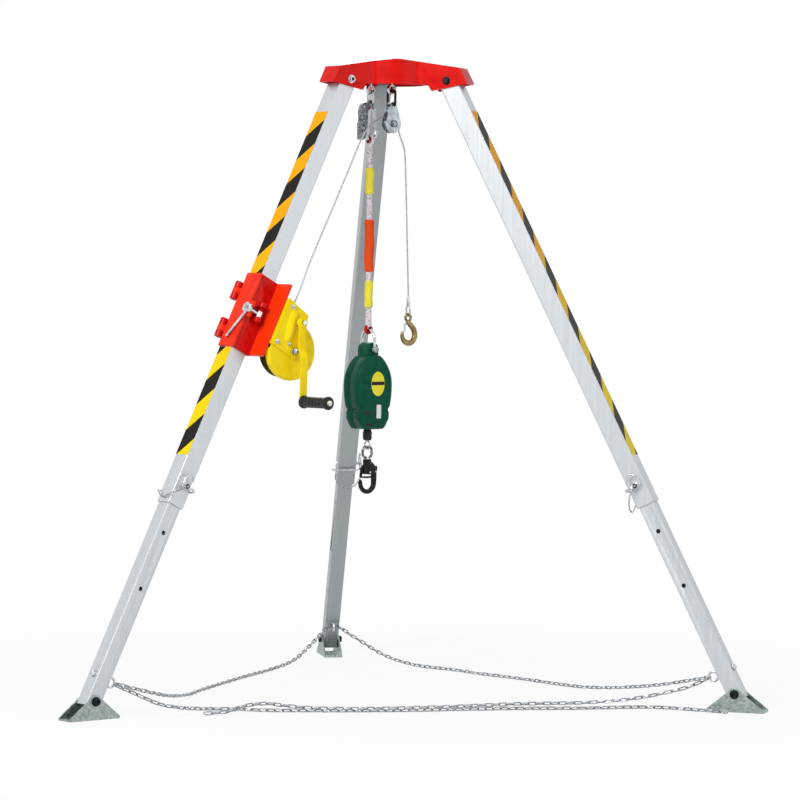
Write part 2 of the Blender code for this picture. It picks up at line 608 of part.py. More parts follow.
def make_winch(frame):
    """Hand winch: plate frame, drum with gear, pinion on the crank shaft, dished gear cover, crank and grip."""
    outer = OUTER_SIZE / 2 + GAP + CLAMP_PLATE
    back = -outer - FLANGE_PLATE - GAP
    near = (0.1055, 0.1100)
    far = (0.0360, 0.0400)
    plate = 0.004
    outline = [(back, -0.738), (back, -0.890), (-0.150, -0.897), (-0.150, -0.860), (-0.135, -0.752)]
    body = join(
        box((back - plate, back), (far[0], near[1]), (-0.890, -0.738)),
        prism(outline, near[0], near[1]),
        prism(outline, far[0], far[1]),
    )
    drum = (DRUM_DEPTH, 0, -DRUM_PLACE)
    crank = (CRANK_DEPTH, 0, -CRANK_PLACE)
    cut(body, rod(0.0062, 0.03, 0.12, "Y", drum, 16), rod(0.0072, 0.03, 0.12, "Y", crank, 16))
    node("winch_frame", body, "yellow", frame, drum)

    inner = COVER_RADIUS - COVER_WALL
    dish = [(0, 0.1020), (inner, 0.1020), (inner, 0.0850), (COVER_RADIUS, 0.0850)]
    dish += [(COVER_RADIUS, 0.1010), (COVER_RADIUS - 0.004, 0.1052), (0, 0.1052)]
    cover = turned(dish, 28, "Y", drum)
    limit = back - plate - GAP
    cut(
        cover,
        box((limit, 0.1), (0.05, 0.15), (-1.0, -0.7)),
        rod(0.0062, 0.03, 0.12, "Y", drum, 16),
        rod(0.0165, 0.03, 0.12, "Y", crank, 20),
    )
    node("gear_cover", cover, "yellow", frame, drum)

    teeth = []
    for index in range(GEAR_TEETH):
        middle = 2 * math.pi * index / GEAR_TEETH
        step = 2 * math.pi / GEAR_TEETH
        for radius, share in ((0.0725, -0.25), (0.0770, -0.12), (0.0770, 0.12), (0.0725, 0.25)):
            angle = middle + share * step
            teeth.append((radius * math.cos(angle), radius * math.sin(angle)))
    wheel = prism(teeth, 0.0865, 0.0950)
    core = [(0.006, 0.0420), (FLANGE_RADIUS, 0.0420), (FLANGE_RADIUS, 0.0445), (WINDING_RADIUS, 0.0445)]
    core += [(WINDING_RADIUS, 0.0800), (FLANGE_RADIUS, 0.0800), (FLANGE_RADIUS, 0.0825), (0.020, 0.0825)]
    core += [(0.020, 0.0900), (0.006, 0.0900)]
    reel = turned(core, 22, "Y")
    bore = rod(0.0063, 0.03, 0.12, "Y", sides=16)
    join(wheel, reel)
    cut(wheel, bore)
    wheel.data.transform(Matrix.Translation(drum))
    node("winch_drum", wheel, "zinc", frame, drum)

    ends = (far[0] - GAP, near[1] + GAP)
    axle = [(0, ends[0] - 0.006), (0.0095, ends[0] - 0.006), (0.0095, ends[0]), (0.0060, ends[0])]
    axle += [(0.0060, ends[1]), (0.0105, ends[1]), (0.0105, ends[1] + 0.006), (0, ends[1] + 0.006)]
    node("drum_axle", turned(axle, 18, "Y", drum), "steel", frame, drum)

    between = Vector((drum[0] - crank[0], drum[2] - crank[2]))
    mesh_angle = math.atan2(between.y, between.x)
    pinion = []
    step = 2 * math.pi / PINION_TEETH
    wheel_step = 2 * math.pi / GEAR_TEETH
    back_angle = (mesh_angle + math.pi) % (2 * math.pi)
    lead = (back_angle / wheel_step) % 1.0
    start = mesh_angle + (0.5 + lead) * step
    for index in range(PINION_TEETH):
        middle = start + step * index
        for radius, share in ((0.0102, -0.25), (0.0147, -0.10), (0.0147, 0.10), (0.0102, 0.25)):
            angle = middle + share * step
            pinion.append((radius * math.cos(angle), radius * math.sin(angle)))
    gear_wheel = prism(pinion, 0.0860, 0.0955)
    shaft_end = near[1] + 0.034
    shaft = rod(0.0068, far[0] - 0.004, shaft_end, "Y", sides=16)
    join(gear_wheel, shaft)
    gear_wheel.data.transform(Matrix.Translation(crank))
    node("pinion_shaft", gear_wheel, "steel", frame, crank)

    toward = Vector((-math.sin(CRANK_LEAN), -math.cos(CRANK_LEAN)))
    side = Vector((-toward.y, toward.x))
    arm_low = near[1] + 0.020
    hub = turned(ring_profile(0.0070, 0.0150, arm_low - 0.006, arm_low + 0.008), 16, "Y")
    half = 0.0125
    steps = [(0.0, arm_low), (0.080, arm_low), (0.110, arm_low + 0.014), (CRANK_LENGTH, arm_low + 0.014)]
    bar = bmesh.new()
    rings = []
    for along, lift in steps:
        places = [(-half, 0), (half, 0), (half, 0.005), (-half, 0.005)]
        rings.append(
            [
                bar.verts.new((toward.x * along + side.x * a, lift + b, toward.y * along + side.y * a))
                for a, b in places
            ]
        )
    for first, second in zip(rings, rings[1:]):
        for index in range(4):
            after = (index + 1) % 4
            bar.faces.new((first[index], first[after], second[after], second[index]))
    bar.faces.new(rings[0])
    bar.faces.new(rings[-1])
    arm = join(from_bmesh(bar), hub)
    tip = toward * (CRANK_LENGTH - 0.014)
    grip_start = arm_low + 0.014 + 0.005
    peg = rod(0.0045, arm_low + 0.010, grip_start + 0.128, "Y", (tip.x, 0, tip.y), 10)
    lip = rod(0.0080, grip_start + 0.1245, grip_start + 0.128, "Y", (tip.x, 0, tip.y), 12)
    cut(arm, rod(0.0071, 0.05, 0.20, "Y", sides=16))
    join(arm, peg, lip)
    arm.data.transform(Matrix.Translation(crank))
    node("crank_arm", arm, "yellow", frame, crank)

    low = grip_start + GAP
    high = grip_start + 0.1245 - GAP
    profile = [(0.0049, low), (0.0200, low), (0.0200, low + 0.006)]
    ribs = 6
    pitch = (high - low - 0.024) / ribs
    for index in range(ribs):
        profile.append((0.0165, low + 0.008 + pitch * index))
        profile.append((0.0185, low + 0.008 + pitch * (index + 0.5)))
    profile += [(0.0165, high - 0.016), (0.0205, high - 0.008), (0.0205, high - 0.002), (0.0180, high)]
    profile += [(0.0049, high)]
    grip_place = (crank[0] + tip.x, 0, crank[2] + tip.y)
    node("crank_grip", turned(profile, 12, "Y", grip_place), "black", frame, grip_place)


def long_link(centre, half_width, corner, top, bottom, plane):
    """Closed path of an upright link between two heights, with straight sides and round corners."""
    points = []
    for side, height, start in ((1, top - corner, 0), (-1, top - corner, 90), (-1, bottom + corner, 180),
                                (1, bottom + corner, 270)):
        offset = side * (half_width - corner)
        middle = (centre[0] + offset, centre[1]) if plane == "XZ" else (centre[0], centre[1] + offset)
        points += arc((*middle, height), corner, start, start + 90, 3, plane)
    return points


def eye_bolt(name, axis_frame, x, y, through):
    """A ring below the roof, in the pulley's plane, on a shank."""
    zero = PIVOT_HEIGHT
    centre = zero + EYE_HEIGHT
    cavity = zero + roof_at(HUB_RADIUS - HEAD_WALL, HEAD_WALL)
    ring = wire(arc((x, y, centre), EYE_RADIUS, 0, 330, 11), EYE_WIRE, True)
    top = zero + HEAD_ROOF + 0.009 if through else cavity + 0.0075
    shank = rod(0.0050, centre + EYE_RADIUS, top, centre=(x, y, 0), sides=14)
    collar = prism([(x + a, y + b) for a, b in hexagon(0.0095)], cavity - 0.007, cavity - GAP, "Z")
    parts = [shank, collar]
    if through:
        nut_low = zero + HEAD_ROOF + GAP
        parts.append(prism([(x + a, y + b) for a, b in hexagon(0.0095)], nut_low, nut_low + 0.0055, "Z"))
    node(name, join(ring, *parts), "steel", axis_frame, (x, y, centre))
    return centre - EYE_RADIUS + EYE_WIRE + GAP


def make_pulley(hanging):
    seat = eye_bolt("eye_bolt_centre", hanging, 0, 0, True)
    top = seat + LINK_WIRE
    bottom = CHEEK_HOLE_HEIGHT + 0.0055 - GAP - LINK_WIRE
    path = long_link((0, 0), 0.0185, 0.0060, top, bottom, "YZ")
    node("pulley_link", wire(path, LINK_WIRE, True), "black", hanging, (0, 0, top))

    rise = CHEEK_HOLE_HEIGHT - SHEAVE_HEIGHT
    tangent = math.degrees(math.acos((CHEEK_RADIUS - 0.012) / rise))
    outline = arc((0, 0, SHEAVE_HEIGHT), CHEEK_RADIUS, 90 + tangent, 450 - tangent, 12)
    outline += arc((0, 0, CHEEK_HOLE_HEIGHT), 0.012, 90 - tangent, 90 + tangent, 6)
    flat = [(x, z) for x, _, z in outline]
    room = 0.0090
    cheek = 0.0030
    axle_centre = (0, 0, SHEAVE_HEIGHT)
    hole_centre = (0, 0, CHEEK_HOLE_HEIGHT)
    first = prism(flat, -room - cheek, -room)
    second = prism(flat, room, room + cheek)
    web = box((-0.008, 0.008), (-room - 0.001, room + 0.001), (SHEAVE_HEIGHT + 0.0355, SHEAVE_HEIGHT + 0.0440))
    axle = rod(0.0060, -room - 0.006, room + 0.006, "Y", axle_centre, 16)
    head = prism([(a, SHEAVE_HEIGHT + b) for a, b in hexagon(0.0095)], -room - 0.009, -room - cheek + 0.0005)
    body = join(first, second, web, axle, head)
    cut(body, rod(0.0055, -0.03, 0.03, "Y", hole_centre, 16))
    node("pulley_cheeks", body, "zinc", hanging, (0, 0, top))

    half = 0.0080
    profile = [(0.0063, -half), (SHEAVE_RADIUS, -half), (SHEAVE_RADIUS, -half + 0.0015)]
    for index in range(5):
        angle = math.radians(180 * index / 4)
        profile.append((SHEAVE_GROOVE + 0.0030 * (1 - math.sin(angle)), -0.0030 * math.cos(angle)))
    profile += [(SHEAVE_RADIUS, half - 0.0015), (SHEAVE_RADIUS, half), (0.0063, half)]
    node("pulley_sheave", turned(profile, 20, "Y", axle_centre), "steel", hanging, axle_centre)


def snap_hook_shape(x, y, eye_height, seat_height, half_width, thick, nose_height):
    """A C-shaped body in the pulley's plane: an eye on top, a back at -X, a bowl and a nose at +X."""
    radius = half_width - thick
    bowl = arc((x, y, seat_height + radius), radius, 180, 355, 8)
    shoulder = eye_height - 0.020
    points = [(x + 0.003, y, eye_height - 0.010), (x - radius * 0.55, y, shoulder - 0.006)]
    points += [(x - radius, y, shoulder - 0.024)] + bowl
    points += [(x + radius + 0.0005, y, nose_height - 0.006), (x + radius - 0.0005, y, nose_height)]
    radii = [thick * 0.9, thick, thick] + [thick] * 9 + [thick * 0.9, thick * 0.7]
    body = wire(points, thick, radii=radii)
    eye = turned(ring_profile(0.0055, 0.0115, -0.0060, 0.0060), 18, "Y", (x, y, eye_height))
    bore = rod(0.0055, -0.02, 0.02, "Y", (x, y, eye_height), 18)
    return cut(join(body, eye), bore)


def hinged_gate(root, hinge, tip, ear_radius, gate_radius):
    """An ear on the hook and the gate it carries: the gate's barrel turns just clear of the ear's end face."""
    barrel = gate_radius + 0.0002
    toward = (Vector(hinge) - Vector(root)).normalized()
    ear = wire([root, tuple(Vector(hinge) - toward * (barrel + GAP))], ear_radius)
    ends = (hinge[1] - ear_radius, hinge[1] + ear_radius)
    gate = join(wire([hinge, tip], gate_radius), rod(barrel, *ends, "Y", (hinge[0], 0, hinge[2])))
    return ear, gate


def make_sling(hanging):
    """The second eye with its shackle, snap hook and rope sling."""
    x, y = SLING_X, SLING_Y
    seat = eye_bolt("eye_bolt_left", hanging, x, y, False)
    top = seat + 0.0035
    bottom = SNAP_TOP + 0.0055 - GAP - 0.0035
    path = long_link((x, y), 0.0130, 0.0050, top, bottom, "YZ")
    node("snap_link", wire(path, 0.0035, True), "steel", hanging, (x, y, top))

    body = snap_hook_shape(x, y, SNAP_TOP, SNAP_SEAT, SNAP_HALF_WIDTH, SNAP_WIRE, SNAP_SEAT + 0.034)
    radius = SNAP_HALF_WIDTH - SNAP_WIRE
    low = (x + radius - 0.0025, y, SNAP_SEAT + 0.0386)
    high = (x + 0.0135, y, SNAP_TOP - 0.0190)
    ear, gate = hinged_gate((x + 0.004, y, SNAP_TOP - 0.006), high, low, 0.0050, 0.0040)
    node("snap_hook", join(body, ear), "zinc", hanging, (x, y, SNAP_TOP))
    node("snap_gate", gate, "steel", hanging, high)

    loop = 0.0140
    strand = 0.0048
    upper = SNAP_SEAT + SNAP_WIRE + GAP + strand - loop
    lower = ROPE_LOOP_HEIGHT
    rope_top = upper - loop
    rope_bottom = lower + 0.012
    rope = rod(ROPE_RADIUS, rope_bottom, rope_top, centre=(x, y, 0), sides=16)
    first = wire(arc((x, y, upper), loop, 0, 330, 11, "YZ"), strand, True)
    second = wire(arc((x, y, lower), 0.012, 0, 330, 11), strand, True)
    node("sling_rope", join(rope, first, second), "white", hanging, (x, y, SNAP_SEAT))
    sleeve_top = SNAP_SEAT - SLEEVE_START
    sleeve = ring_profile(ROPE_RADIUS + GAP, 0.0190, sleeve_top - SLEEVE_LENGTH, sleeve_top)
    node("sling_sleeve", turned(sleeve, 20, "Z", (x, y, 0)), "orange", hanging, (x, y, sleeve_top))
    return lower - 0.012 + strand + GAP


def block_outline(grow=0.0):
    """The fall-arrest block, seen square on: half width at each depth below its bolt."""
    rows = [(BLOCK_DEPTH, 0.018), (0.2445, 0.038), (0.216, 0.055), (0.193, 0.060), (0.186, 0.064), (0.151, 0.071)]
    rows += [(0.103, 0.0725), (0.071, 0.066), (0.046, 0.052), (0.028, 0.036), (0.018, 0.026)]
    right = [(SLING_X + half + grow, BLOCK_BOLT_HEIGHT - depth) for depth, half in rows]
    left = [(SLING_X - half - grow, BLOCK_BOLT_HEIGHT - depth) for depth, half in reversed(rows)]
    return right + left


def make_block(hanging, bow_seat):
    """Fall-arrest block on its shackle: two housing halves round a sprung line drum, and the line's hook."""
    x, y = SLING_X, SLING_Y
    bolt_z = BLOCK_BOLT_HEIGHT
    wire_radius = 0.0050
    half = LUG_HALF + GAP + 0.0010 + wire_radius
    top = bow_seat + wire_radius
    path = [(x, y + half, bolt_z)] + arc((x, y, top - half), half, 0, 180, 8, "YZ") + [(x, y - half, bolt_z)]
    bow = wire(path, wire_radius)
    bolt_centre = (x, 0, bolt_z)
    for side in (-1, 1):
        low, high = sorted((y + side * (LUG_HALF + 0.0006), y + side * (half + 0.0048)))
        join(bow, rod(0.0100, low, high, "Y", bolt_centre, 12))
    cut(bow, rod(0.0053, y - 0.06, y + 0.06, "Y", bolt_centre, 16))
    node("block_shackle", bow, "steel", hanging, (x, y, bolt_z))
    reach = half + 0.0048 + GAP
    profile = [(0, -reach - 0.006), (0.0100, -reach - 0.006), (0.0100, -reach), (0.0050, -reach)]
    profile += [(0.0050, reach), (0.0100, reach), (0.0100, reach + 0.006), (0, reach + 0.006)]
    node("shackle_bolt", turned(profile, 16, "Y", (x, y, bolt_z)), "zinc", hanging, (x, y, bolt_z))

    thick = BLOCK_THICKNESS / 2
    lug = arc((x, 0, bolt_z), 0.0225, 0, 180, 10)
    lug = [(a, b) for a, _, b in lug] + [(x - 0.0225, bolt_z - 0.031), (x + 0.0225, bolt_z - 0.031)]
    chamber = (x, 0, bolt_z - CHAMBER_DEPTH)
    for name, side in (("housing_front", -1), ("housing_back", 1)):
        low, high = sorted((y + side * GAP / 2, y + side * thick))
        shell = prism(block_outline(), low, high)
        shell.modifiers.new("edge", "BEVEL").width = 0.006
        shell.modifiers["edge"].segments = 1
        shell.modifiers["edge"].limit_method = "ANGLE"
        graph = bpy.context.evaluated_depsgraph_get()
        shell.data = bpy.data.meshes.new_from_object(shell.evaluated_get(graph))
        shell.modifiers.clear()
        lug_low, lug_high = sorted((y + side * GAP / 2, y + side * LUG_HALF))
        join(shell, prism(lug, lug_low, lug_high))
        inside = sorted((y - side * 0.01, y + side * 0.030))
        cut(
            shell,
            rod(0.0560, inside[0], inside[1], "Y", chamber, 20),
            rod(0.0053, y - 0.06, y + 0.06, "Y", bolt_centre, 16),
            rod(0.0045, bolt_z - BLOCK_DEPTH - 0.034, bolt_z - CHAMBER_DEPTH - 0.020, "Z", (x, y, 0), 14),
        )
        peg_low, peg_high = sorted((y + side * 0.0008, y + side * 0.034))
        if side < 0:
            join(shell, rod(0.0060, peg_low, peg_high, "Y", chamber, 14))
        node(name, shell, "green", hanging, (x, y, bolt_z))
    spool = [(0.0063, -0.0274), (0.0520, -0.0274), (0.0520, -0.0250), (0.0380, -0.0250), (0.0380, 0.0250)]
    spool += [(0.0520, 0.0250), (0.0520, 0.0274), (0.0063, 0.0274)]
    node("line_drum", turned(spool, 20, "Y", (x, y, chamber[2])), "steel", hanging, (x, y, chamber[2]))

    zero = bolt_z - BLOCK_DEPTH
    stopper_top = -GAP
    stopper = [(0, -0.036), (0.0120, -0.036), (0.0145, -0.028), (0.0145, -0.010), (0.0110, stopper_top)]
    stopper += [(0, stopper_top)]
    body = turned(stopper, 18, "Z", (x, y, zero))
    loop_z = zero - 0.0505
    loop = wire(arc((x, y, loop_z), 0.0125, 0, 330, 11, "YZ"), 0.0023, True, 1)
    neck = rod(0.0040, zero - 0.0405, zero - 0.034, "Z", (x, y, 0), 12)
    node("line_stopper", join(body, loop, neck), "black", hanging, (x, y, zero - 0.018))

    ring_top = loop_z - 0.0125 + 0.0023 + GAP + 0.0042
    ring_low = zero - SWIVEL_DEPTH
    bail = long_link((x, y), 0.0180, 0.0120, ring_top, ring_low, "XZ")
    post = rod(0.0055, ring_low - 0.0140, ring_low + 0.0035, "Z", (x, y, 0), 14)
    foot = rod(0.0085, ring_low - 0.0175, ring_low - 0.0130, "Z", (x, y, 0), 14)
    node("hook_swivel", join(wire(bail, 0.0042, True), post, foot), "steel", hanging, (x, y, ring_low))
    make_block_hook(hanging, x, y, ring_low)


def make_block_hook(hanging, x, y, ring_low):
    """Double-action snap hook: a boss that turns on the swivel's post, a body with its bowl, and a gate."""
    thick = 0.0072
    radius = 0.0270
    zero = ring_low - 0.0140
    centre = zero - 0.1010 + thick + radius
    path = [(x + 0.006, y, zero - 0.0010), (x + 0.022, y, zero - 0.0150), (x + radius, y, zero - 0.0350)]
    path += arc((x, y, centre), radius, 0, -175, 8)
    path += [(x - radius - 0.0005, y, zero - 0.0540)]
    radii = [0.0072, 0.0075, 0.0074] + [thick] * 9 + [0.0055]
    body = wire(path, thick, radii=radii)
    boss = turned([(0, -0.0110), (0.0125, -0.0110), (0.0135, -0.0060), (0.0135, 0.0090), (0, 0.0090)], 18, "Z",
                  (x, y, zero))
    room = turned(
        [(0, -0.0038), (0.0088, -0.0038), (0.0088, 0.0013), (0.0058, 0.0013), (0.0058, 0.0150), (0, 0.0150)],
        14, "Z", (x, y, zero),
    )
    top = (x - 0.0225, y, zero - 0.0210)
    low = (x - radius + 0.0005, y, zero - 0.0496)
    arm, gate = hinged_gate((x - 0.004, y, zero - 0.0060), top, low, 0.0060, 0.0045)
    join(body, boss, arm)
    cut(body, room)
    node("block_hook", body, "black", hanging, (x, y, zero))
    node("block_hook_gate", gate, "steel", hanging, top)


def make_load_hook(hanging):
    """The cable's hook: a ferrule and loop on the cable's end, a forged hook and its spring latch."""
    x = HOOK_X
    loop_wire = 0.0025
    eye_wire = 0.0042
    eye_radius = 0.0110
    loop_bottom = HOOK_EYE_HEIGHT + eye_radius - eye_wire - GAP - loop_wire
    zero = HOOK_EYE_HEIGHT
    loop = wire(long_link((x, 0), 0.0085, 0.0060, zero + 0.0364, loop_bottom, "YZ"), loop_wire, True, 1)
    ferrule = rod(0.0060, zero + 0.0349, zero + FERRULE_TOP, centre=(x, 0, 0), sides=14)
    bore = rod(CABLE + GAP, zero + FERRULE_SEAT - 2 * CABLE_PLAY, zero + FERRULE_TOP + 0.007, centre=(x, 0, 0))
    node("cable_eye", cut(join(ferrule, loop), bore), "steel", hanging, (x, 0, zero + FERRULE_TOP - 0.0130))

    eye = wire(arc((x, 0, HOOK_EYE_HEIGHT), eye_radius, 0, 330, 11), eye_wire, True)
    bowl = (x + 0.002, 0, zero - 0.0546)
    radius = 0.0260
    path = [(x, 0, zero - 0.0090), (x + 0.0060, 0, zero - 0.0196), (x + 0.0210, 0, zero - 0.0346)]
    path += arc(bowl, radius, 20, -190, 12)
    path += [(bowl[0] - radius - 0.0010, 0, bowl[2] + 0.0110)]
    radii = [0.0070, 0.0075, 0.0085] + [0.0090] * 5 + [0.0095] * 4 + [0.0085, 0.0075, 0.0065, 0.0058] + [0.0045]
    high = (x - 0.0130, 0, zero - 0.0216)
    low = (x - 0.0150, 0, zero - 0.0451)
    ear, latch = hinged_gate((x + 0.003, 0, zero - 0.0156), high, low, 0.0040, 0.0030)
    hook = join(wire(path, 0.0090, radii=radii), eye, ear)
    node("load_hook", hook, "brass", hanging, (x, 0, HOOK_EYE_HEIGHT))
    node("hook_latch", latch, "steel", hanging, high)


def smooth(points, spacing):
    """Points at even spacing on a smooth curve through hand-picked ones."""
    places = [Vector(point) for point in points]
    dense = []
    for index in range(len(places) - 1):
        before = places[max(index - 1, 0)]
        start, end = places[index], places[index + 1]
        after = places[min(index + 2, len(places) - 1)]
        for step in range(24):
            t = step / 24
            a = 2 * start
            b = (end - before) * t
            c = (2 * before - 5 * start + 4 * end - after) * t * t
            d = (3 * start - before - 3 * end + after) * t * t * t
            dense.append((a + b + c + d) / 2)
    dense.append(places[-1])
    length = sum((q - p).length for p, q in zip(dense, dense[1:]))
    count = max(2, round(length / spacing))
    out = [dense[0]]
    gone, mark = 0.0, 1
    for p, q in zip(dense, dense[1:]):
        piece = (q - p).length
        while mark < count and gone + piece >= length * mark / count:
            out.append(p.lerp(q, (length * mark / count - gone) / piece))
            mark += 1
        gone += piece
    out.append(dense[-1])
    return out


def cord(name, points, radius, colour, parent):
    """A free stretch of cable or chain as a plain tube."""
    curve = bpy.data.curves.new(name, "CURVE")
    curve.dimensions = "3D"
    curve.bevel_depth = radius
    curve.bevel_resolution = 2
    curve.use_fill_caps = True
    line = curve.splines.new("POLY")
    line.points.add(len(points) - 1)
    for place, point in zip(points, line.points):
        point.co = (*place, 1.0)
    made = bpy.data.objects.new(name, curve)
    bpy.context.scene.collection.objects.link(made)
    made.parent = parent
    curve.materials.append(material(colour))
    return made


def leg_to_hanging(across, out, along):
    """A place in the left leg's frame (out from the tube, across it, down it) as hanging-frame values."""
    radius = PIVOT_RADIUS + along * math.sin(LEG_ANGLE) + out * math.cos(LEG_ANGLE)
    height = PIVOT_HEIGHT - along * math.cos(LEG_ANGLE) + out * math.sin(LEG_ANGLE)
    return (-radius, -across, height)


def make_cables(hanging):
    """The winch cable, from the drum over the sheave, and its drop to the hook."""
    bend = SHEAVE_GROOVE + CABLE + GAP
    reel = WINDING_RADIUS + CABLE + 2 * GAP
    slope = math.radians(10.7)
    start_out = DRUM_DEPTH + reel * math.cos(slope)
    start_along = DRUM_PLACE - reel * math.sin(slope)
    start = leg_to_hanging(0.0650, start_out, start_along)
    outlet = leg_to_hanging(0.0650, -0.0995, 0.724)
    over = SHEAVE_HEIGHT
    lead = [start, outlet, (-0.3586, -0.0505, over - 0.4295), (-0.2322, -0.0276, over - 0.2235)]
    lead += [(-0.1300, -0.0087, over - 0.0545), (-0.1120, -0.0060, over - 0.0305)]
    lead += [(-0.0780, -0.0020, over - 0.0005), (-0.0440, 0, over + 0.0145)]
    touch = arc((0, 0, SHEAVE_HEIGHT), bend, 112, 0, 9)
    route = smooth(lead + touch[:1], 0.040) + touch[1:]
    cord("winch_cable", route, CABLE, "steel", hanging)
    top = (bend, 0, SHEAVE_HEIGHT - GAP)
    low = HOOK_EYE_HEIGHT
    drop = [(bend, 0, over - 0.006), (0.0300, 0, over - 0.0215), (0.0400, 0, over - 0.0465)]
    drop += [(0.0570, 0, over - 0.0925), (0.0650, 0, over - 0.2385), (HOOK_X - 0.0030, 0, low + 0.1464)]
    drop += [(HOOK_X - 0.0005, 0, low + 0.0914), (HOOK_X, 0, low + 0.0624), (HOOK_X, 0, low + FERRULE_SEAT)]
    cord("hook_cable", [top] + smooth(drop, 0.036), CABLE, "steel", hanging)


def make_chain(axis):
    """The foot chain: two runs along the rear, and two that end on the floor at the front."""
    floor = CHAIN
    ring_radius = PIVOT_RADIUS + CHAIN_EYE_PLACE * math.sin(LEG_ANGLE)
    ring_height = PIVOT_HEIGHT - CHAIN_EYE_PLACE * math.cos(LEG_ANGLE)
    inward = INNER_SIZE / 2 + 0.004 + 0.0145
    rings = {}
    for side, azimuth in LEG_AZIMUTHS.items():
        turn = math.radians(azimuth)
        radius = ring_radius - inward * math.cos(LEG_ANGLE)
        height = ring_height - inward * math.sin(LEG_ANGLE)
        rings[side] = Vector((radius * math.cos(turn), radius * math.sin(turn), height))
    back = rings["rear"]
    lying = {
        "chain_rear": [
            (-0.800, -0.420, 0.062), (-0.720, -0.280, 0.033), (-0.640, -0.080, 0.012), (-0.570, 0.100, floor),
            (-0.410, 0.409, floor), (-0.270, 0.660, floor), (-0.170, 0.820, 0.020), (-0.085, 0.970, 0.062),
            (-0.018, back.y, back.z),
        ],
        "chain_rear_far": [
            (0.018, back.y, back.z), (0.085, 0.970, 0.062), (0.150, 0.850, 0.025), (0.235, 0.720, floor),
            (0.332, 0.582, floor), (0.401, 0.451, floor), (0.492, 0.319, floor), (0.596, 0.132, floor),
            (0.660, 0.000, 0.012), (0.740, -0.160, 0.030), (0.820, -0.330, 0.058),
        ],
        "chain_front_left": [
            (-0.860, -0.545, 0.075), (-0.770, -0.535, 0.036), (-0.690, -0.490, 0.020), (-0.620, -0.430, 0.010),
            (-0.522, -0.425, floor), (-0.420, -0.465, floor), (-0.105, -0.500, floor), (0.268, -0.486, floor),
            (0.520, -0.500, floor), (0.745, -0.497, floor), (0.940, -0.640, floor),
        ],
        "chain_front_right": [
            (0.850, -0.525, 0.072), (0.750, -0.480, 0.042), (0.660, -0.430, 0.022), (0.560, -0.385, 0.010),
            (0.460, -0.370, floor), (0.314, -0.379, floor), (0.100, -0.430, floor), (-0.150, -0.450, floor),
            (-0.330, -0.424, 0.010), (-0.470, -0.452, 0.027), (-0.565, -0.500, 0.010), (-0.640, -0.520, floor),
        ],
    }
    routes = {}
    for name, side, clear in (
        ("chain_rear", "left", REAR_CHAIN_LEFT_START),
        ("chain_rear_far", "right", -REAR_CHAIN_RIGHT_START),
        ("chain_front_left", "left", FRONT_CHAIN_LEFT_START),
        ("chain_front_right", "right", FRONT_CHAIN_RIGHT_START),
    ):
        points = [Vector(point) for point in lying[name]]
        near = points[0] if clear > 0 else points[-1]
        start = rings[side].lerp(near, abs(clear) / (near - rings[side]).length)
        routes[name] = smooth([start] + points if clear > 0 else points + [start], 0.072)
    routes["chain_rear"] += routes.pop("chain_rear_far")
    for name, route in routes.items():
        cord(name, route, CHAIN, "zinc", axis)


def main():
    for item in list(bpy.data.objects):
        bpy.data.objects.remove(item)
    axis, legs, hanging = make_frames()
    make_head(axis)
    make_legs(axis, legs)
    make_clamp(legs["left"])
    make_winch(legs["left"])
    make_pulley(hanging)
    bow_seat = make_sling(hanging)
    make_block(hanging, bow_seat)
    make_load_hook(hanging)
    make_cables(hanging)
    make_chain(axis)
    bpy.context.view_layer.update()


main()
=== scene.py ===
"""Rescue tripod: enamelled head, extruded legs, hand winch, fall-arrest block on a rope sling, and foot chain.

Two kinds of frame carry the shapes. A leg frame has its first axis out of the leg's outer face, its second
across the leg and its third up the leg, with zero on the pivot. The hanging frame has its first axis across the
pulley's face, its second along the axle and its third up from the floor. Lengths are metres."""

import json

import bmesh
import bpy
import numpy as np
from mathutils import Matrix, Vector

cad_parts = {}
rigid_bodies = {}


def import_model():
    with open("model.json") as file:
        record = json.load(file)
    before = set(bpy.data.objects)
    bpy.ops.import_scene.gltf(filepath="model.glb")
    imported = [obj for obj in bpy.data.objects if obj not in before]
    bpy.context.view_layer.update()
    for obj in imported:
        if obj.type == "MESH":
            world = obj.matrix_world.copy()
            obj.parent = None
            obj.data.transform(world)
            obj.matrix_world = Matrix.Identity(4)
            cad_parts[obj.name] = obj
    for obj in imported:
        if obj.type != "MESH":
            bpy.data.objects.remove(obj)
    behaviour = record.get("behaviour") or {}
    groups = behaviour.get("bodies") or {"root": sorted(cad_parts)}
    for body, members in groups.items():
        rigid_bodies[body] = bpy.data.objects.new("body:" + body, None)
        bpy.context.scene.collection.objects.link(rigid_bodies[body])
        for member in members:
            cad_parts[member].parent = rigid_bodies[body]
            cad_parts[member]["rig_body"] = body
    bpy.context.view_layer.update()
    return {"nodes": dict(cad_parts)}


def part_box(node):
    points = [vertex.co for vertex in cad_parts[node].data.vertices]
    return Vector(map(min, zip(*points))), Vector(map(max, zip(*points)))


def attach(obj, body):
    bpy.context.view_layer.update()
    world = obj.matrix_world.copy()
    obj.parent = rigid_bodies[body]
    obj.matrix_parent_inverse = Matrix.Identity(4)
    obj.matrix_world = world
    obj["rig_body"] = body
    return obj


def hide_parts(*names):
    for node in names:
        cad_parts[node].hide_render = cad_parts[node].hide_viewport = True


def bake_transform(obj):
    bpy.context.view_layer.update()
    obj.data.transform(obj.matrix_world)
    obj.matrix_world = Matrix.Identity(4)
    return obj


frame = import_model()
NODES = frame["nodes"]
RNG = np.random.default_rng(11)

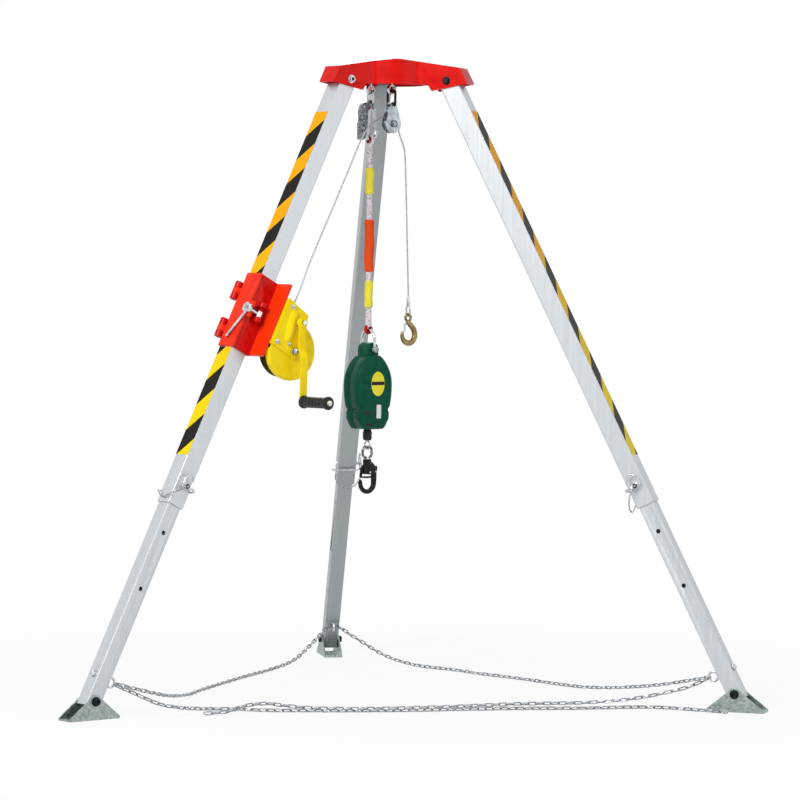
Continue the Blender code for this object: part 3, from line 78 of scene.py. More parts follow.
# Sizes and places that the solids have too; AXIS_Y is the tripod's middle line in the frame
AXIS_Y = -0.29516405
LEG_ANGLE = np.radians(26.83)
LEG_AZIMUTHS = {"left": 210, "right": 330, "rear": 90}
PIN_SIDE = {"left": 1, "right": -1, "rear": -1}
PIVOT_RADIUS = 0.1945
PIVOT_HEIGHT = 1.9283
HALF_TUBE = 0.030
PIN_PLACE = 1.395
CHAIN_EYE_PLACE = 2.02199
EYE_HEIGHT = 1.905
DRUM = (-0.132, 0.0, -0.875)
CRANK = (-0.108, 0.0, -0.789)
SLING_X = -0.0315
SLING_Y = 0.0655
HOOK_X = 0.077
SHEAVE_HEIGHT = 1.7965
BOLT_HEIGHT = 1.086
GAP = 0.0003
EYE_RADIUS = 0.0135
EYE_WIRE = 0.0045
CHAIN_RING = 0.0145
CHAIN_RING_OUT = 0.025 + 0.004 + CHAIN_RING
HEAD_ROOF = 0.067
SNAP_TOP = 1.8608
SNAP_SEAT = 1.749
SNAP_WIRE = 0.0062
SNAP_EYE = 0.0055
STRAND = 0.0048
UPPER_EYE_RADIUS = 0.0140
LOWER_EYE = 1.150
LOWER_EYE_RADIUS = 0.0120
HOUSING_HALF = 0.0400
BLOCK_HALF = 0.025
CRANK_LEAN = np.radians(24.93)
GEAR_TEETH = 36


# Frames

def matrix(first, second, third, origin):
    """A frame from its three axes and its origin."""
    made = np.eye(4)
    made[:3, 0], made[:3, 1], made[:3, 2], made[:3, 3] = first, second, third, origin
    return made


def leg_frame(side):
    """Outward normal of the outer face, across the leg, and up the leg, on the leg's pivot."""
    turn = np.radians(LEG_AZIMUTHS[side])
    c, s = np.cos(turn), np.sin(turn)
    lean_c, lean_s = np.cos(LEG_ANGLE), np.sin(LEG_ANGLE)
    return matrix(
        (lean_c * c, lean_c * s, lean_s), (-s, c, 0), (-lean_s * c, -lean_s * s, lean_c),
        (PIVOT_RADIUS * c, PIVOT_RADIUS * s + AXIS_Y, PIVOT_HEIGHT),
    )


LEGS = {side: leg_frame(side) for side in LEG_AZIMUTHS}
HANG = matrix((np.sqrt(0.75), 0.5, 0), (-0.5, np.sqrt(0.75), 0), (0, 0, 1), (0, AXIS_Y, 0))
WORLD = np.eye(4)


def placed(points, where):
    """Points of a frame as world points."""
    return np.asarray(points, float) @ where[:3, :3].T + where[:3, 3]


def unit(vectors):
    """Vectors at length one."""
    return vectors / np.linalg.norm(vectors, axis=-1, keepdims=True)


def added(name, data):
    """A new object in the scene, at the origin."""
    made = bpy.data.objects.new(name, data)
    bpy.context.scene.collection.objects.link(made)
    return made


# Materials

def linear(code):
    """An sRGB hex colour as linear RGBA."""
    value = np.array([int(code[k:k + 2], 16) for k in (1, 3, 5)]) / 255
    value = np.where(value <= 0.04045, value / 12.92, ((value + 0.055) / 1.055) ** 2.4)
    return (*value, 1.0)


def add(tree, kind, links=(), inputs=(), **settings):
    """Adds one node: links are (input, socket), inputs are (input, value) and settings are its properties."""
    made = tree.nodes.new(kind)
    for key, value in settings.items():
        setattr(made, key, value)
    for key, value in inputs:
        made.inputs[key].default_value = value
    for key, socket in links:
        tree.links.new(socket, made.inputs[key])
    return made


def finish_named(name, roughness, metallic=0.0, **sockets):
    """A material with its main sockets set. Non-metals reflect the white surroundings less than by default."""
    made = bpy.data.materials.new(name)
    made.use_nodes = True
    surface = made.node_tree.nodes["Principled BSDF"]
    surface.inputs["Roughness"].default_value = roughness
    surface.inputs["Metallic"].default_value = metallic
    if metallic < 0.5:
        surface.inputs["Specular IOR Level"].default_value = 0.22
    for key, value in sockets.items():
        surface.inputs[key.replace("_", " ")].default_value = value
    return made, made.node_tree, surface


def mottled(name, light, dark, scale, roughness, metallic=0.0, rough_span=0.1, bump=0.0, bump_scale=400.0,
            stretch=(1, 1, 1), turn=(0, 0, 0), low=0.35, high=0.65, **sockets):
    """Two tones blended by cloudy noise, roughness that wanders with it, and a fine bump."""
    made, tree, surface = finish_named(name, roughness, metallic, **sockets)
    place = add(tree, "ShaderNodeTexCoord")
    mapping = add(tree, "ShaderNodeMapping", [("Vector", place.outputs["Object"])],
                  [("Rotation", turn), ("Scale", stretch)])
    cloud = add(tree, "ShaderNodeTexNoise", [("Vector", mapping.outputs[0])],
                [("Scale", scale), ("Detail", 5.0)])
    blend = add(tree, "ShaderNodeValToRGB", [("Fac", cloud.outputs["Fac"])])
    blend.color_ramp.elements[0].position = low
    blend.color_ramp.elements[1].position = high
    blend.color_ramp.elements[0].color = linear(dark)
    blend.color_ramp.elements[1].color = linear(light)
    tree.links.new(blend.outputs["Color"], surface.inputs["Base Color"])
    wander = add(tree, "ShaderNodeMapRange", [("Value", cloud.outputs["Fac"])],
                 [("From Min", 0.3), ("From Max", 0.7), ("To Min", roughness - rough_span / 2),
                  ("To Max", roughness + rough_span / 2)])
    tree.links.new(wander.outputs[0], surface.inputs["Roughness"])
    if bump:
        grain = add(tree, "ShaderNodeTexNoise", [("Vector", mapping.outputs[0])],
                    [("Scale", bump_scale), ("Detail", 2.0)])
        raised = add(tree, "ShaderNodeBump", [("Height", grain.outputs["Fac"])],
                     [("Strength", 1.0), ("Distance", bump)])
        tree.links.new(raised.outputs[0], surface.inputs["Normal"])
    return made


# Sprayed and stoved gloss enamel on pressed steel: clear colour with a faint orange peel, 3 mm across.
RED_ENAMEL = mottled("head_red_enamel", "#DA120A", "#CB0E08", 30, 0.3, bump=0.00004, bump_scale=330,
                     Specular_IOR_Level=0.12)
# The door's enamel is lighter and more orange than the clamp's red: painted light on the one red paint.
LIT_DOOR_ENAMEL = mottled("door_painted_light_enamel", "#F23A1E", "#E52E14", 40, 0.34, bump=0.00004, bump_scale=330,
                      Specular_IOR_Level=0.08)
YELLOW_ENAMEL = mottled("winch_yellow_enamel", "#F8DC0E", "#F0CF04", 35, 0.3, bump=0.00005, bump_scale=330,
                        Specular_IOR_Level=0.14)

# Zinc plate with a pale passivation: soft cloudy spangle a few mm across.
ZINC = mottled("zinc_plated_steel", "#A9B5B4", "#87928F", 120, 0.42, 1.0, 0.16, 0.00003, 900)
# Polished plated steel on pins, eyes and nuts.
BRIGHT = mottled("bright_nickel_steel", "#D4D7DA", "#B4B8BC", 90, 0.22, 1.0, 0.1, 0.00001, 700)
# Brushed and polished plate of the pulley, with a cold cast.
PULLEY_STEEL = mottled("polished_pulley_steel", "#D3DCE2", "#AEB9C0", 60, 0.3, 1.0, 0.12, 0.00002, 700)
# Yellow passivation on the cable drum, painted dark olive: painted shade.
SHADED_DRUM_ZINC = mottled("shade_darkened_drum_steel", "#7C7034", "#57501F", 70, 0.42, 0.7, 0.14, 0.00003, 500)
# Zinc-plated links of the chain, a little dull from handling.
CHAIN_ZINC = mottled("chain_zinc_steel", "#B9BEC2", "#7F858A", 160, 0.33, 1.0, 0.14)
# Stranded galvanised wire.
WIRE = mottled("galvanised_wire", "#BFC2C6", "#8D9196", 300, 0.4, 1.0, 0.1)
# Yellow passivated forging: brassy, with a mild iridescent mottle.
GOLD = mottled("yellow_passivated_steel", "#A08D62", "#77683F", 90, 0.32, 1.0, 0.14, 0.00005, 500)
# Black oxide on forged steel.
BLACK_OXIDE = mottled("black_oxide_steel", "#232427", "#121314", 120, 0.36, 0.4, 0.12, 0.00003, 600)
# Dull dark zinc of the forged snap hooks, with cloudy grey patches. On the sheave this dark finish is painted
# shade between the pulley's cheeks.
DARK_ZINC_AND_SHEAVE_SHADE = mottled("dark_zinc_forging_and_sheave_shade", "#9A9DA0", "#4B4D50", 170, 0.36, 1.0, 0.14, 0.00005, 500, low=0.4,
                    high=0.6)
# Moulded ABS of the block: a fine spark texture, 1 mm grain.
GREEN_ABS = mottled("green_moulded_abs", "#04523C", "#034632", 45, 0.36, bump=0.00006, bump_scale=900,
                    Specular_IOR_Level=0.1)
# Moulded nylon of the crank grip and the stopper.
BLACK_NYLON = mottled("black_moulded_nylon", "#262729", "#1B1C1E", 80, 0.45, bump=0.00005, bump_scale=800)
RED_NYLON = mottled("red_moulded_nylon", "#C4161A", "#9E1013", 80, 0.42)
# Blank plastic film plates.
YELLOW_FILM = mottled("yellow_plastic_film", "#F0E23A", "#EAD92E", 60, 0.35, rough_span=0.05)
WHITE_FILM = mottled("white_plastic_film", "#EFEFEA", "#E4E4DE", 60, 0.4, rough_span=0.05)
BLACK_FILM = mottled("black_plastic_film", "#1C1B1A", "#141312", 60, 0.4, rough_span=0.05)


def extruded(side):
    """Extruded aluminium, satin anodised: grain lines along the leg, 1 mm apart, under a clear film. The rear
    leg's tones are darker: painted shade."""
    # The rear leg's darker pair of tones is painted shade.
    light, dark = ("#A7ACAE", "#999EA1") if side == "rear" else ("#CDD1D4", "#C0C4C8")
    return mottled(
        f"extruded_aluminium_{side}", light, dark, 14, 0.36, 0.5, 0.12, 0.00002, 60, (14, 14, 0.35),
        (0, -LEG_ANGLE if side == "right" else 0, 0), 0.2, 0.8,
    )


ALUMINIUM = {side: extruded(side) for side in LEGS}


def clamp_finish():
    """Red enamel; the winch plate, which lies beyond the tube on the clamp's inner side, is painted more orange:
    painted light.
    """
    made = mottled("clamp_red_enamel", "#CF120E", "#BD0C0D", 40, 0.28, bump=0.00005, bump_scale=330,
                   Specular_IOR_Level=0.14)
    tree = made.node_tree
    base = tree.nodes["Principled BSDF"].inputs["Base Color"]
    red = base.links[0].from_socket
    back = Matrix(np.linalg.inv(LEGS["left"]).tolist())
    place = add(tree, "ShaderNodeTexCoord")
    local = add(tree, "ShaderNodeMapping", [("Vector", place.outputs["Object"])],
                [("Location", back.to_translation()), ("Rotation", back.to_euler())])
    split = add(tree, "ShaderNodeSeparateXYZ", [("Vector", local.outputs[0])])
    inner = add(tree, "ShaderNodeMath", [(0, split.outputs[0])], [(1, -0.034)], operation="LESS_THAN")
    beyond = add(tree, "ShaderNodeMath", [(0, split.outputs[1])], [(1, 0.0375)], operation="GREATER_THAN")
    painted_light_mask = add(tree, "ShaderNodeMath", [(0, inner.outputs[0]), (1, beyond.outputs[0])], operation="MULTIPLY")
    # The orange on the winch plate is painted light on the one red enamel.
    mix = add(tree, "ShaderNodeMix", [(0, painted_light_mask.outputs[0]), (6, red)], [(7, linear("#F0340C"))],
              data_type="RGBA")
    tree.links.new(mix.outputs[2], base)
    return made


CLAMP_ENAMEL = clamp_finish()


def hazard_tape(side, start, pitch):
    """Hazard film: black bands at 45 degrees, pitch from band to band, on a ground that goes from orange at
    the top of the leg to yellow at its foot, by the tape's own UV map: painted light on a film of one colour."""
    made, tree, surface = finish_named(f"hazard_film_{side}", 0.45, Specular_IOR_Level=0.08)
    place = add(tree, "ShaderNodeUVMap")
    split = add(tree, "ShaderNodeSeparateXYZ", [("Vector", place.outputs[0])])
    slant = add(tree, "ShaderNodeMath", [(0, split.outputs[0]), (1, split.outputs[1])], operation="ADD")
    shifted = add(tree, "ShaderNodeMath", [(0, slant.outputs[0])], [(1, start)], operation="SUBTRACT")
    along = add(tree, "ShaderNodeMath", [(0, shifted.outputs[0])], [(1, pitch)], operation="FLOORED_MODULO")
    band = add(tree, "ShaderNodeMath", [(0, along.outputs[0])], [(1, pitch / 2)], operation="LESS_THAN")
    coords = add(tree, "ShaderNodeTexCoord")
    wear = add(tree, "ShaderNodeTexNoise", [("Vector", coords.outputs["Object"])],
               [("Scale", 26.0), ("Detail", 6.0)])
    shade = add(tree, "ShaderNodeValToRGB", [("Fac", wear.outputs["Fac"])])
    shade.color_ramp.elements[0].position = 0.3
    shade.color_ramp.elements[0].color = linear("#F0F0EC")
    # Orange at the top to yellow at the foot: painted light, not a change in the film.
    painted_light_ramp = add(tree, "ShaderNodeMapRange", [("Value", split.outputs[1])],
               [("From Min", 0.5), ("From Max", 1.1)])
    ground = add(tree, "ShaderNodeMix", [(0, painted_light_ramp.outputs[0])],
                 [(6, linear("#FBAE0A")), (7, linear("#FADD10"))], data_type="RGBA")
    worn = add(tree, "ShaderNodeMix", [(6, ground.outputs[2]), (7, shade.outputs[0])], [(0, 1.0)],
               data_type="RGBA", blend_type="MULTIPLY")
    ink = add(tree, "ShaderNodeValToRGB", [("Fac", wear.outputs["Fac"])])
    ink.color_ramp.elements[0].color = linear("#120F0C")
    ink.color_ramp.elements[1].color = linear("#221F1B")
    mix = add(tree, "ShaderNodeMix", [(0, band.outputs[0]), (6, worn.outputs[2]), (7, ink.outputs[0])],
              data_type="RGBA")
    tree.links.new(mix.outputs[2], surface.inputs["Base Color"])
    return made


def woven(name, light, dark, pitch, roughness=0.85, fleck=None):
    """Woven or braided cloth by the piece's UV map in metres: two crossed sets of yarns, pitch apart."""
    made, tree, surface = finish_named(name, roughness)
    place = add(tree, "ShaderNodeUVMap")
    turned_map = add(tree, "ShaderNodeMapping", [("Vector", place.outputs[0])],
                     [("Rotation", (0, 0, np.radians(45)))])
    waves = []
    for way in ("X", "Y"):
        waves.append(add(tree, "ShaderNodeTexWave", [("Vector", turned_map.outputs[0])],
                         [("Scale", 0.3142 / pitch), ("Distortion", 0.4)], bands_direction=way))
    weave = add(tree, "ShaderNodeMath", [(0, waves[0].outputs["Fac"]), (1, waves[1].outputs["Fac"])],
                operation="MULTIPLY")
    tone = add(tree, "ShaderNodeValToRGB", [("Fac", weave.outputs[0])])
    tone.color_ramp.elements[0].color = linear(dark)
    tone.color_ramp.elements[1].position = 0.45
    tone.color_ramp.elements[1].color = linear(light)
    colour = tone.outputs[0]
    if fleck:
        cells = add(tree, "ShaderNodeTexVoronoi", [("Vector", turned_map.outputs[0])],
                    [("Scale", 0.8 / pitch)], distance="CHEBYCHEV")
        dots = add(tree, "ShaderNodeMath", [(0, cells.outputs["Color"])], [(1, 0.26)], operation="LESS_THAN")
        mix = add(tree, "ShaderNodeMix", [(0, dots.outputs[0]), (6, colour)], [(7, linear(fleck))],
                  data_type="RGBA")
        colour = mix.outputs[2]
    tree.links.new(colour, surface.inputs["Base Color"])
    raised = add(tree, "ShaderNodeBump", [("Height", weave.outputs[0])],
                 [("Strength", 0.8), ("Distance", 0.0006)])
    tree.links.new(raised.outputs[0], surface.inputs["Normal"])
    return made


# Braided polyamide rope, white with mauve flecks; yarns drawn 3 mm apart so that they show.
ROPE = woven("white_braided_rope", "#F4EFF0", "#D2C9CC", 0.0032, fleck="#A9979F")
# Woven sleeves, 2 mm yarns.
ORANGE_SLEEVE = woven("orange_woven_sleeve", "#FB5C20", "#E24413", 0.0026)
YELLOW_SLEEVE = woven("yellow_woven_sleeve", "#FBF05A", "#EBDD2C", 0.0026)


# Surfaces

def surface(name, points, finish, body, where=WORLD, loop_rows=False, loop_columns=True, caps=True, sharp=35,
            uv=None, replaces=(), slot=None, weld=True):
    """A grid of points, rows by columns, drawn as quads; it may close either way and have flat end caps."""
    grid = placed(points, where)
    rows, columns = grid.shape[:2]
    index = np.arange(rows * columns).reshape(rows, columns)
    down = np.roll(index, -1, 0) if loop_rows else index[1:]
    here = index if loop_rows else index[:-1]
    right, right_down = np.roll(here, -1, 1), np.roll(down, -1, 1)
    quads = np.stack([here, right, right_down, down], -1)
    if not loop_columns:
        quads = quads[:, :-1]
    shape = quads.shape[:2]
    quads = quads.reshape(-1, 4)
    faces = quads.tolist()
    if caps and loop_columns and not loop_rows:
        faces += [index[0][::-1].tolist(), index[-1].tolist()]
    mesh = bpy.data.meshes.new(name)
    mesh.from_pydata(grid.reshape(-1, 3), [], faces)
    if uv is not None:
        layer = mesh.uv_layers.new(name="UVMap")
        across, along = uv
        u = np.broadcast_to(np.linspace(0, across, shape[1] + 1), (shape[0] + 1, shape[1] + 1))
        v = np.broadcast_to(np.asarray(along, float)[:, None], (shape[0] + 1, shape[1] + 1))
        painted_light_mask = np.stack([u, v], -1)
        corner = np.stack([painted_light_mask[:-1, :-1], painted_light_mask[:-1, 1:], painted_light_mask[1:, 1:], painted_light_mask[1:, :-1]], 2).reshape(-1, 2)
        flat = np.zeros((len(mesh.loops), 2), np.float32)
        flat[:len(corner)] = corner
        layer.data.foreach_set("uv", flat.ravel())
    return dressed(name, mesh, finish, body, sharp, replaces, weld)


def dressed(name, mesh, finish, body, sharp=35, replaces=(), weld=True):
    """Cleans a mesh, turns its faces out, gives it its finish and puts it on its body."""
    if weld:
        work = bmesh.new()
        work.from_mesh(mesh)
        bmesh.ops.remove_doubles(work, verts=work.verts, dist=2e-6)
        bmesh.ops.recalc_face_normals(work, faces=work.faces)
        work.to_mesh(mesh)
        work.free()
    mesh.shade_smooth()
    mesh.set_sharp_from_angle(angle=np.radians(sharp))
    mesh.materials.clear()
    mesh.materials.append(finish)
    made = added(name, mesh)
    if body:
        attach(made, body)
    if replaces:
        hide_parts(*replaces)
    return made


def tube_points(path, radius, sides=12, about=(0, 1, 0), closed=False, lobes=0, depth=0.0, twist=0.0):
    """Circles square to a path. about is a direction never along the path; lobes ripple the radius and turn
    with the distance run, as strands do."""
    path = np.asarray(path, float)
    if closed:
        tangent = np.roll(path, -1, 0) - np.roll(path, 1, 0)
    else:
        tangent = np.gradient(path, axis=0)
    tangent = unit(tangent)
    side = unit(np.cross(tangent, np.broadcast_to(about, tangent.shape)))
    rise = np.cross(side, tangent)
    angle = np.linspace(0, 2 * np.pi, sides, endpoint=False)
    size = np.broadcast_to(np.asarray(radius, float), (len(path),))[:, None]
    if lobes:
        turned = angle + twist * run_of(path)[:, None]
        size = size * (1 - depth + depth * np.abs(np.cos(lobes / 2 * turned)))
    return path[:, None] + size[..., None] * (
        np.cos(angle)[None, :, None] * side[:, None] + np.sin(angle)[None, :, None] * rise[:, None]
    )


def run_of(path):
    """The distance run along a path, at each of its points."""
    return np.concatenate([[0], np.cumsum(np.linalg.norm(np.diff(path, axis=0), axis=1))])


def at_run(path, run, marks):
    """The places on a path at chosen distances along it."""
    return np.stack([np.interp(marks, run, path[:, k]) for k in range(3)], -1)


def through(points, count):
    """A smooth curve through chosen points, at even spacing: cubic pieces whose slopes come from the
    neighbours."""
    points = np.asarray(points, float)
    padded = np.vstack([points[:1], points, points[-1:]])
    t = np.linspace(0, 1, 24, endpoint=False)[None, :, None]
    before, start, end, after = (padded[k:len(padded) - 3 + k][:, None] for k in range(4))
    dense = (2 * start + (end - before) * t + (2 * before - 5 * start + 4 * end - after) * t**2
             + (3 * start - before - 3 * end + after) * t**3) / 2
    dense = np.vstack([dense.reshape(-1, 3), points[-1:]])
    run = run_of(dense)
    return at_run(dense, run, np.linspace(0, run[-1], count))


def eased(values, count):
    """Chosen sizes spread evenly over a path's points."""
    return np.interp(np.linspace(0, 1, count), np.linspace(0, 1, len(values)), values)


def arc_points(centre, radius, start, end, count, plane="XZ", endpoint=True):
    """Points on a circle in one plane of the frame, from one angle in degrees to another."""
    angle = np.radians(np.linspace(start, end, count, endpoint=endpoint))
    a, b, zero = radius * np.cos(angle), radius * np.sin(angle), np.zeros(count)
    columns = {"XZ": (a, zero, b), "YZ": (zero, a, b), "XY": (a, b, zero)}[plane]
    return np.asarray(centre, float) + np.stack(columns, -1)


def rounded(points, radius, steps=4, closed=False):
    """Each corner of a line of points becomes a short curve that starts and ends radius from it."""
    points = np.asarray(points, float)
    radius = np.broadcast_to(np.asarray(radius, float), (len(points),))
    back, ahead = np.roll(points, 1, 0) - points, np.roll(points, -1, 0) - points
    back_size = np.linalg.norm(back, axis=1, keepdims=True)
    ahead_size = np.linalg.norm(ahead, axis=1, keepdims=True)
    reach = np.minimum(radius[:, None], 0.48 * np.minimum(back_size, ahead_size))
    first = points + back / back_size * reach
    last = points + ahead / ahead_size * reach
    t = np.linspace(0, 1, steps)[None, :, None]
    out = ((1 - t) ** 2 * first[:, None] + 2 * t * (1 - t) * points[:, None] + t**2 * last[:, None])
    if closed:
        return out.reshape(-1, points.shape[1])
    return np.vstack([points[:1], out[1:-1].reshape(-1, points.shape[1]), points[-1:]])


def rod(radius, low, high, edge):
    """Profile of a plain round rod with eased rims, from the axis out and back."""
    return rounded([(0, low), (radius, low), (radius, high), (0, high)], edge)


def collar(inner, outer, low, high, edge, steps=4):
    """Profile of a plain ring with eased rims, closed on itself."""
    return rounded([(inner, low), (outer, low), (outer, high), (inner, high)], edge, steps, closed=True)


def window(left, right, low, high, corner, steps):
    """A rectangle's outline with rounded corners."""
    return rounded([(left, low), (right, low), (right, high), (left, high)], corner, steps, closed=True)


def hexagon(x, z, across, corner=0.0006):
    """A hexagon's outline round a place, with eased corners; across is from the middle to a corner."""
    angle = np.radians(np.arange(0, 360, 60))
    return rounded(np.stack([x + across * np.cos(angle), z + across * np.sin(angle)], -1), corner, 3, closed=True)


# Columns that carry a turned piece's axis from Z to the named axis
AXES = {
    "X": np.array([[0, 0, 1], [1, 0, 0], [0, 1, 0]], float),
    "Y": np.array([[0, 1, 0], [0, 0, 1], [1, 0, 0]], float),
    "Z": np.eye(3),
}


def turned_points(profile, sides=32, axis="Z", centre=(0, 0, 0)):
    """A profile of (radius, height) pairs carried round an axis."""
    profile = np.asarray(profile, float)
    angle = np.linspace(0, 2 * np.pi, sides, endpoint=False)
    ring = np.stack([
        profile[:, :1] * np.cos(angle), profile[:, :1] * np.sin(angle),
        np.broadcast_to(profile[:, 1:], (len(profile), sides)),
    ], -1)
    return ring @ AXES[axis].T + np.asarray(centre, float)


def spun(name, profile, finish, body, where=WORLD, axis="Z", centre=(0, 0, 0), sides=36, ring=False, **more):
    """A turned piece. ring says that the profile closes on itself round a bore."""
    return surface(name, turned_points(profile, sides, axis, centre), finish, body, where, loop_rows=ring,
                   caps=False, **more)


def tube(name, path, radius, finish, body, where=WORLD, sides=14, about=(0, 1, 0), closed=False, **more):
    """A round bar along a path, with flat ends."""
    return surface(name, tube_points(path, radius, sides, about, closed), finish, body, where, loop_rows=closed,
                   **more)


def plate_points(outline, low, high, edge, axis="Y", steps=5):
    """A flat outline drawn out along an axis. Each rim is a quarter circle: the outline moves in as it nears
    a face. The outline runs anticlockwise."""
    outline = np.asarray(outline, float)
    ahead = unit(np.roll(outline, -1, 0) - np.roll(outline, 1, 0))
    inward = np.stack([-ahead[:, 1], ahead[:, 0]], -1)
    angle = np.linspace(0, np.pi / 2, steps)
    draw = np.concatenate([edge * (1 - np.sin(angle)), edge * (1 - np.cos(angle))])
    height = np.concatenate([low + edge * (1 - np.cos(angle)), high - edge * (1 - np.sin(angle))])
    flat = outline[None] + draw[:, None, None] * inward[None]
    tall = np.broadcast_to(height[:, None], flat.shape[:2])
    order = {"X": (tall, flat[..., 0], flat[..., 1]), "Y": (flat[..., 0], tall, flat[..., 1]),
             "Z": (flat[..., 0], flat[..., 1], tall)}[axis]
    return np.stack(order, -1)


def plate(name, outline, low, high, edge, finish, body, where=WORLD, axis="Y", steps=5, **more):
    """A flat piece: its outline drawn out between two faces."""
    return surface(name, plate_points(outline, low, high, edge, axis, steps), finish, body, where, **more)


def link_path(centre, half_width, corner, top, bottom, plane="YZ", steps=7):
    """Closed path of an upright link: two straight sides joined by round ends."""
    corners = [(1, top - corner, 0), (-1, top - corner, 90), (-1, bottom + corner, 180),
               (1, bottom + corner, 270)]
    parts = []
    for side, height, start in corners:
        offset = side * (half_width - corner)
        x, y = (offset, 0) if plane == "XZ" else (0, offset)
        middle = (centre[0] + x, centre[1] + y, height)
        parts.append(arc_points(middle, corner, start, start + 90, steps, plane))
    return np.vstack(parts)


def bevelled(node, finish, width, segments, sharp=35):
    """A merged copy of a CAD solid with its flat faces joined up and its corners rounded over."""
    work = bmesh.new()
    work.from_mesh(NODES[node].data)
    bmesh.ops.remove_doubles(work, verts=work.verts, dist=5e-6)
    bmesh.ops.dissolve_limit(work, angle_limit=np.radians(1.0), verts=work.verts, edges=work.edges)
    bmesh.ops.dissolve_degenerate(work, dist=2e-5, edges=work.edges)
    mesh = bpy.data.meshes.new(f"{node}_form")
    work.to_mesh(mesh)
    work.free()
    made = dressed(f"{node}_form", mesh, finish, NODES[node]["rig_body"], sharp, (node,), weld=False)
    rim = made.modifiers.new("rounded_edges", "BEVEL")
    rim.width = width
    rim.segments = segments
    rim.limit_method = "ANGLE"
    rim.angle_limit = np.radians(40)
    rim.harden_normals = True
    rim.miter_outer = "MITER_ARC"
    return made


# Camera, set by the fit to the photograph

def make_camera():
    """The camera's lens, turn and place, with its axes made square to each other."""
    camera = bpy.data.cameras.new("camera")
    camera.lens = 166.33
    camera.sensor_width = 36.0
    holder = added("camera", camera)
    up, ahead = np.array([[-0.0030, 0.0385, 0.9993], [0.1747, 0.9839, -0.0374]])
    ahead = unit(ahead)
    right = unit(np.cross(ahead, up))
    up = np.cross(right, ahead)
    holder.matrix_world = Matrix(matrix(right, up, -ahead, (-2.0002, -11.4705 + AXIS_Y, 1.3638)).tolist())
    bpy.context.scene.camera = holder


# Cords: the chain's four runs and the cable's two, on the routes that their solids have

def spaced(points, spacing):
    """The cord's own points: a smooth curve through the chosen ones, at even spacing."""
    length = run_of(through(points, 24 * (len(points) - 1) + 1))[-1]
    return through(points, max(2, round(length / spacing)) + 1)


CHAIN_RADIUS = 0.007
LINK_WIRE = 0.0022
LINK_PITCH = 0.0240


def ring_centre(side):
    """The middle of a leg's chain ring."""
    return placed((-CHAIN_RING_OUT, 0, -CHAIN_EYE_PLACE), LEGS[side])


def chain_routes():
    """The four runs: chosen points, and how far from the ring's middle each starts (less than 0: ends)."""
    floor = CHAIN_RADIUS
    back = ring_centre("rear")
    y, z = back[1] - AXIS_Y, back[2]
    rows = {
        "rear_left": ("left", 0.0180, [
            (-0.800, -0.420, 0.062), (-0.720, -0.280, 0.033), (-0.640, -0.080, 0.012), (-0.570, 0.100, floor),
            (-0.410, 0.409, floor), (-0.270, 0.660, floor), (-0.170, 0.820, 0.020), (-0.085, 0.970, 0.062),
            (-0.018, y, z)]),
        "rear_right": ("right", -0.0162, [
            (0.018, y, z), (0.085, 0.970, 0.062), (0.150, 0.850, 0.025), (0.235, 0.720, floor),
            (0.332, 0.582, floor), (0.401, 0.451, floor), (0.492, 0.319, floor), (0.596, 0.132, floor),
            (0.660, 0.000, 0.012), (0.740, -0.160, 0.030), (0.820, -0.330, 0.058)]),
        "front_left": ("left", 0.0158, [
            (-0.860, -0.545, 0.075), (-0.770, -0.535, 0.036), (-0.690, -0.490, 0.020), (-0.620, -0.430, 0.010),
            (-0.522, -0.425, floor), (-0.420, -0.465, floor), (-0.105, -0.500, floor), (0.268, -0.486, floor),
            (0.520, -0.500, floor), (0.745, -0.497, floor), (0.940, -0.640, floor)]),
        "front_right": ("right", 0.0178, [
            (0.850, -0.525, 0.072), (0.750, -0.480, 0.042), (0.660, -0.430, 0.022), (0.560, -0.385, 0.010),
            (0.460, -0.370, floor), (0.314, -0.379, floor), (0.100, -0.430, floor), (-0.150, -0.450, floor),
            (-0.330, -0.424, 0.010), (-0.470, -0.452, 0.027), (-0.565, -0.500, 0.010),
            (-0.640, -0.520, floor)]),
    }
    routes = {}
    for name, (side, clear, points) in rows.items():
        points = np.array(points) + (0, AXIS_Y, 0)
        centre = ring_centre(side)
        near = points[0] if clear > 0 else points[-1]
        start = centre + (near - centre) * abs(clear) / np.linalg.norm(near - centre)
        points = np.vstack([[start], points]) if clear > 0 else np.vstack([points, [start]])
        routes[name] = spaced(points, 0.072)
    return routes


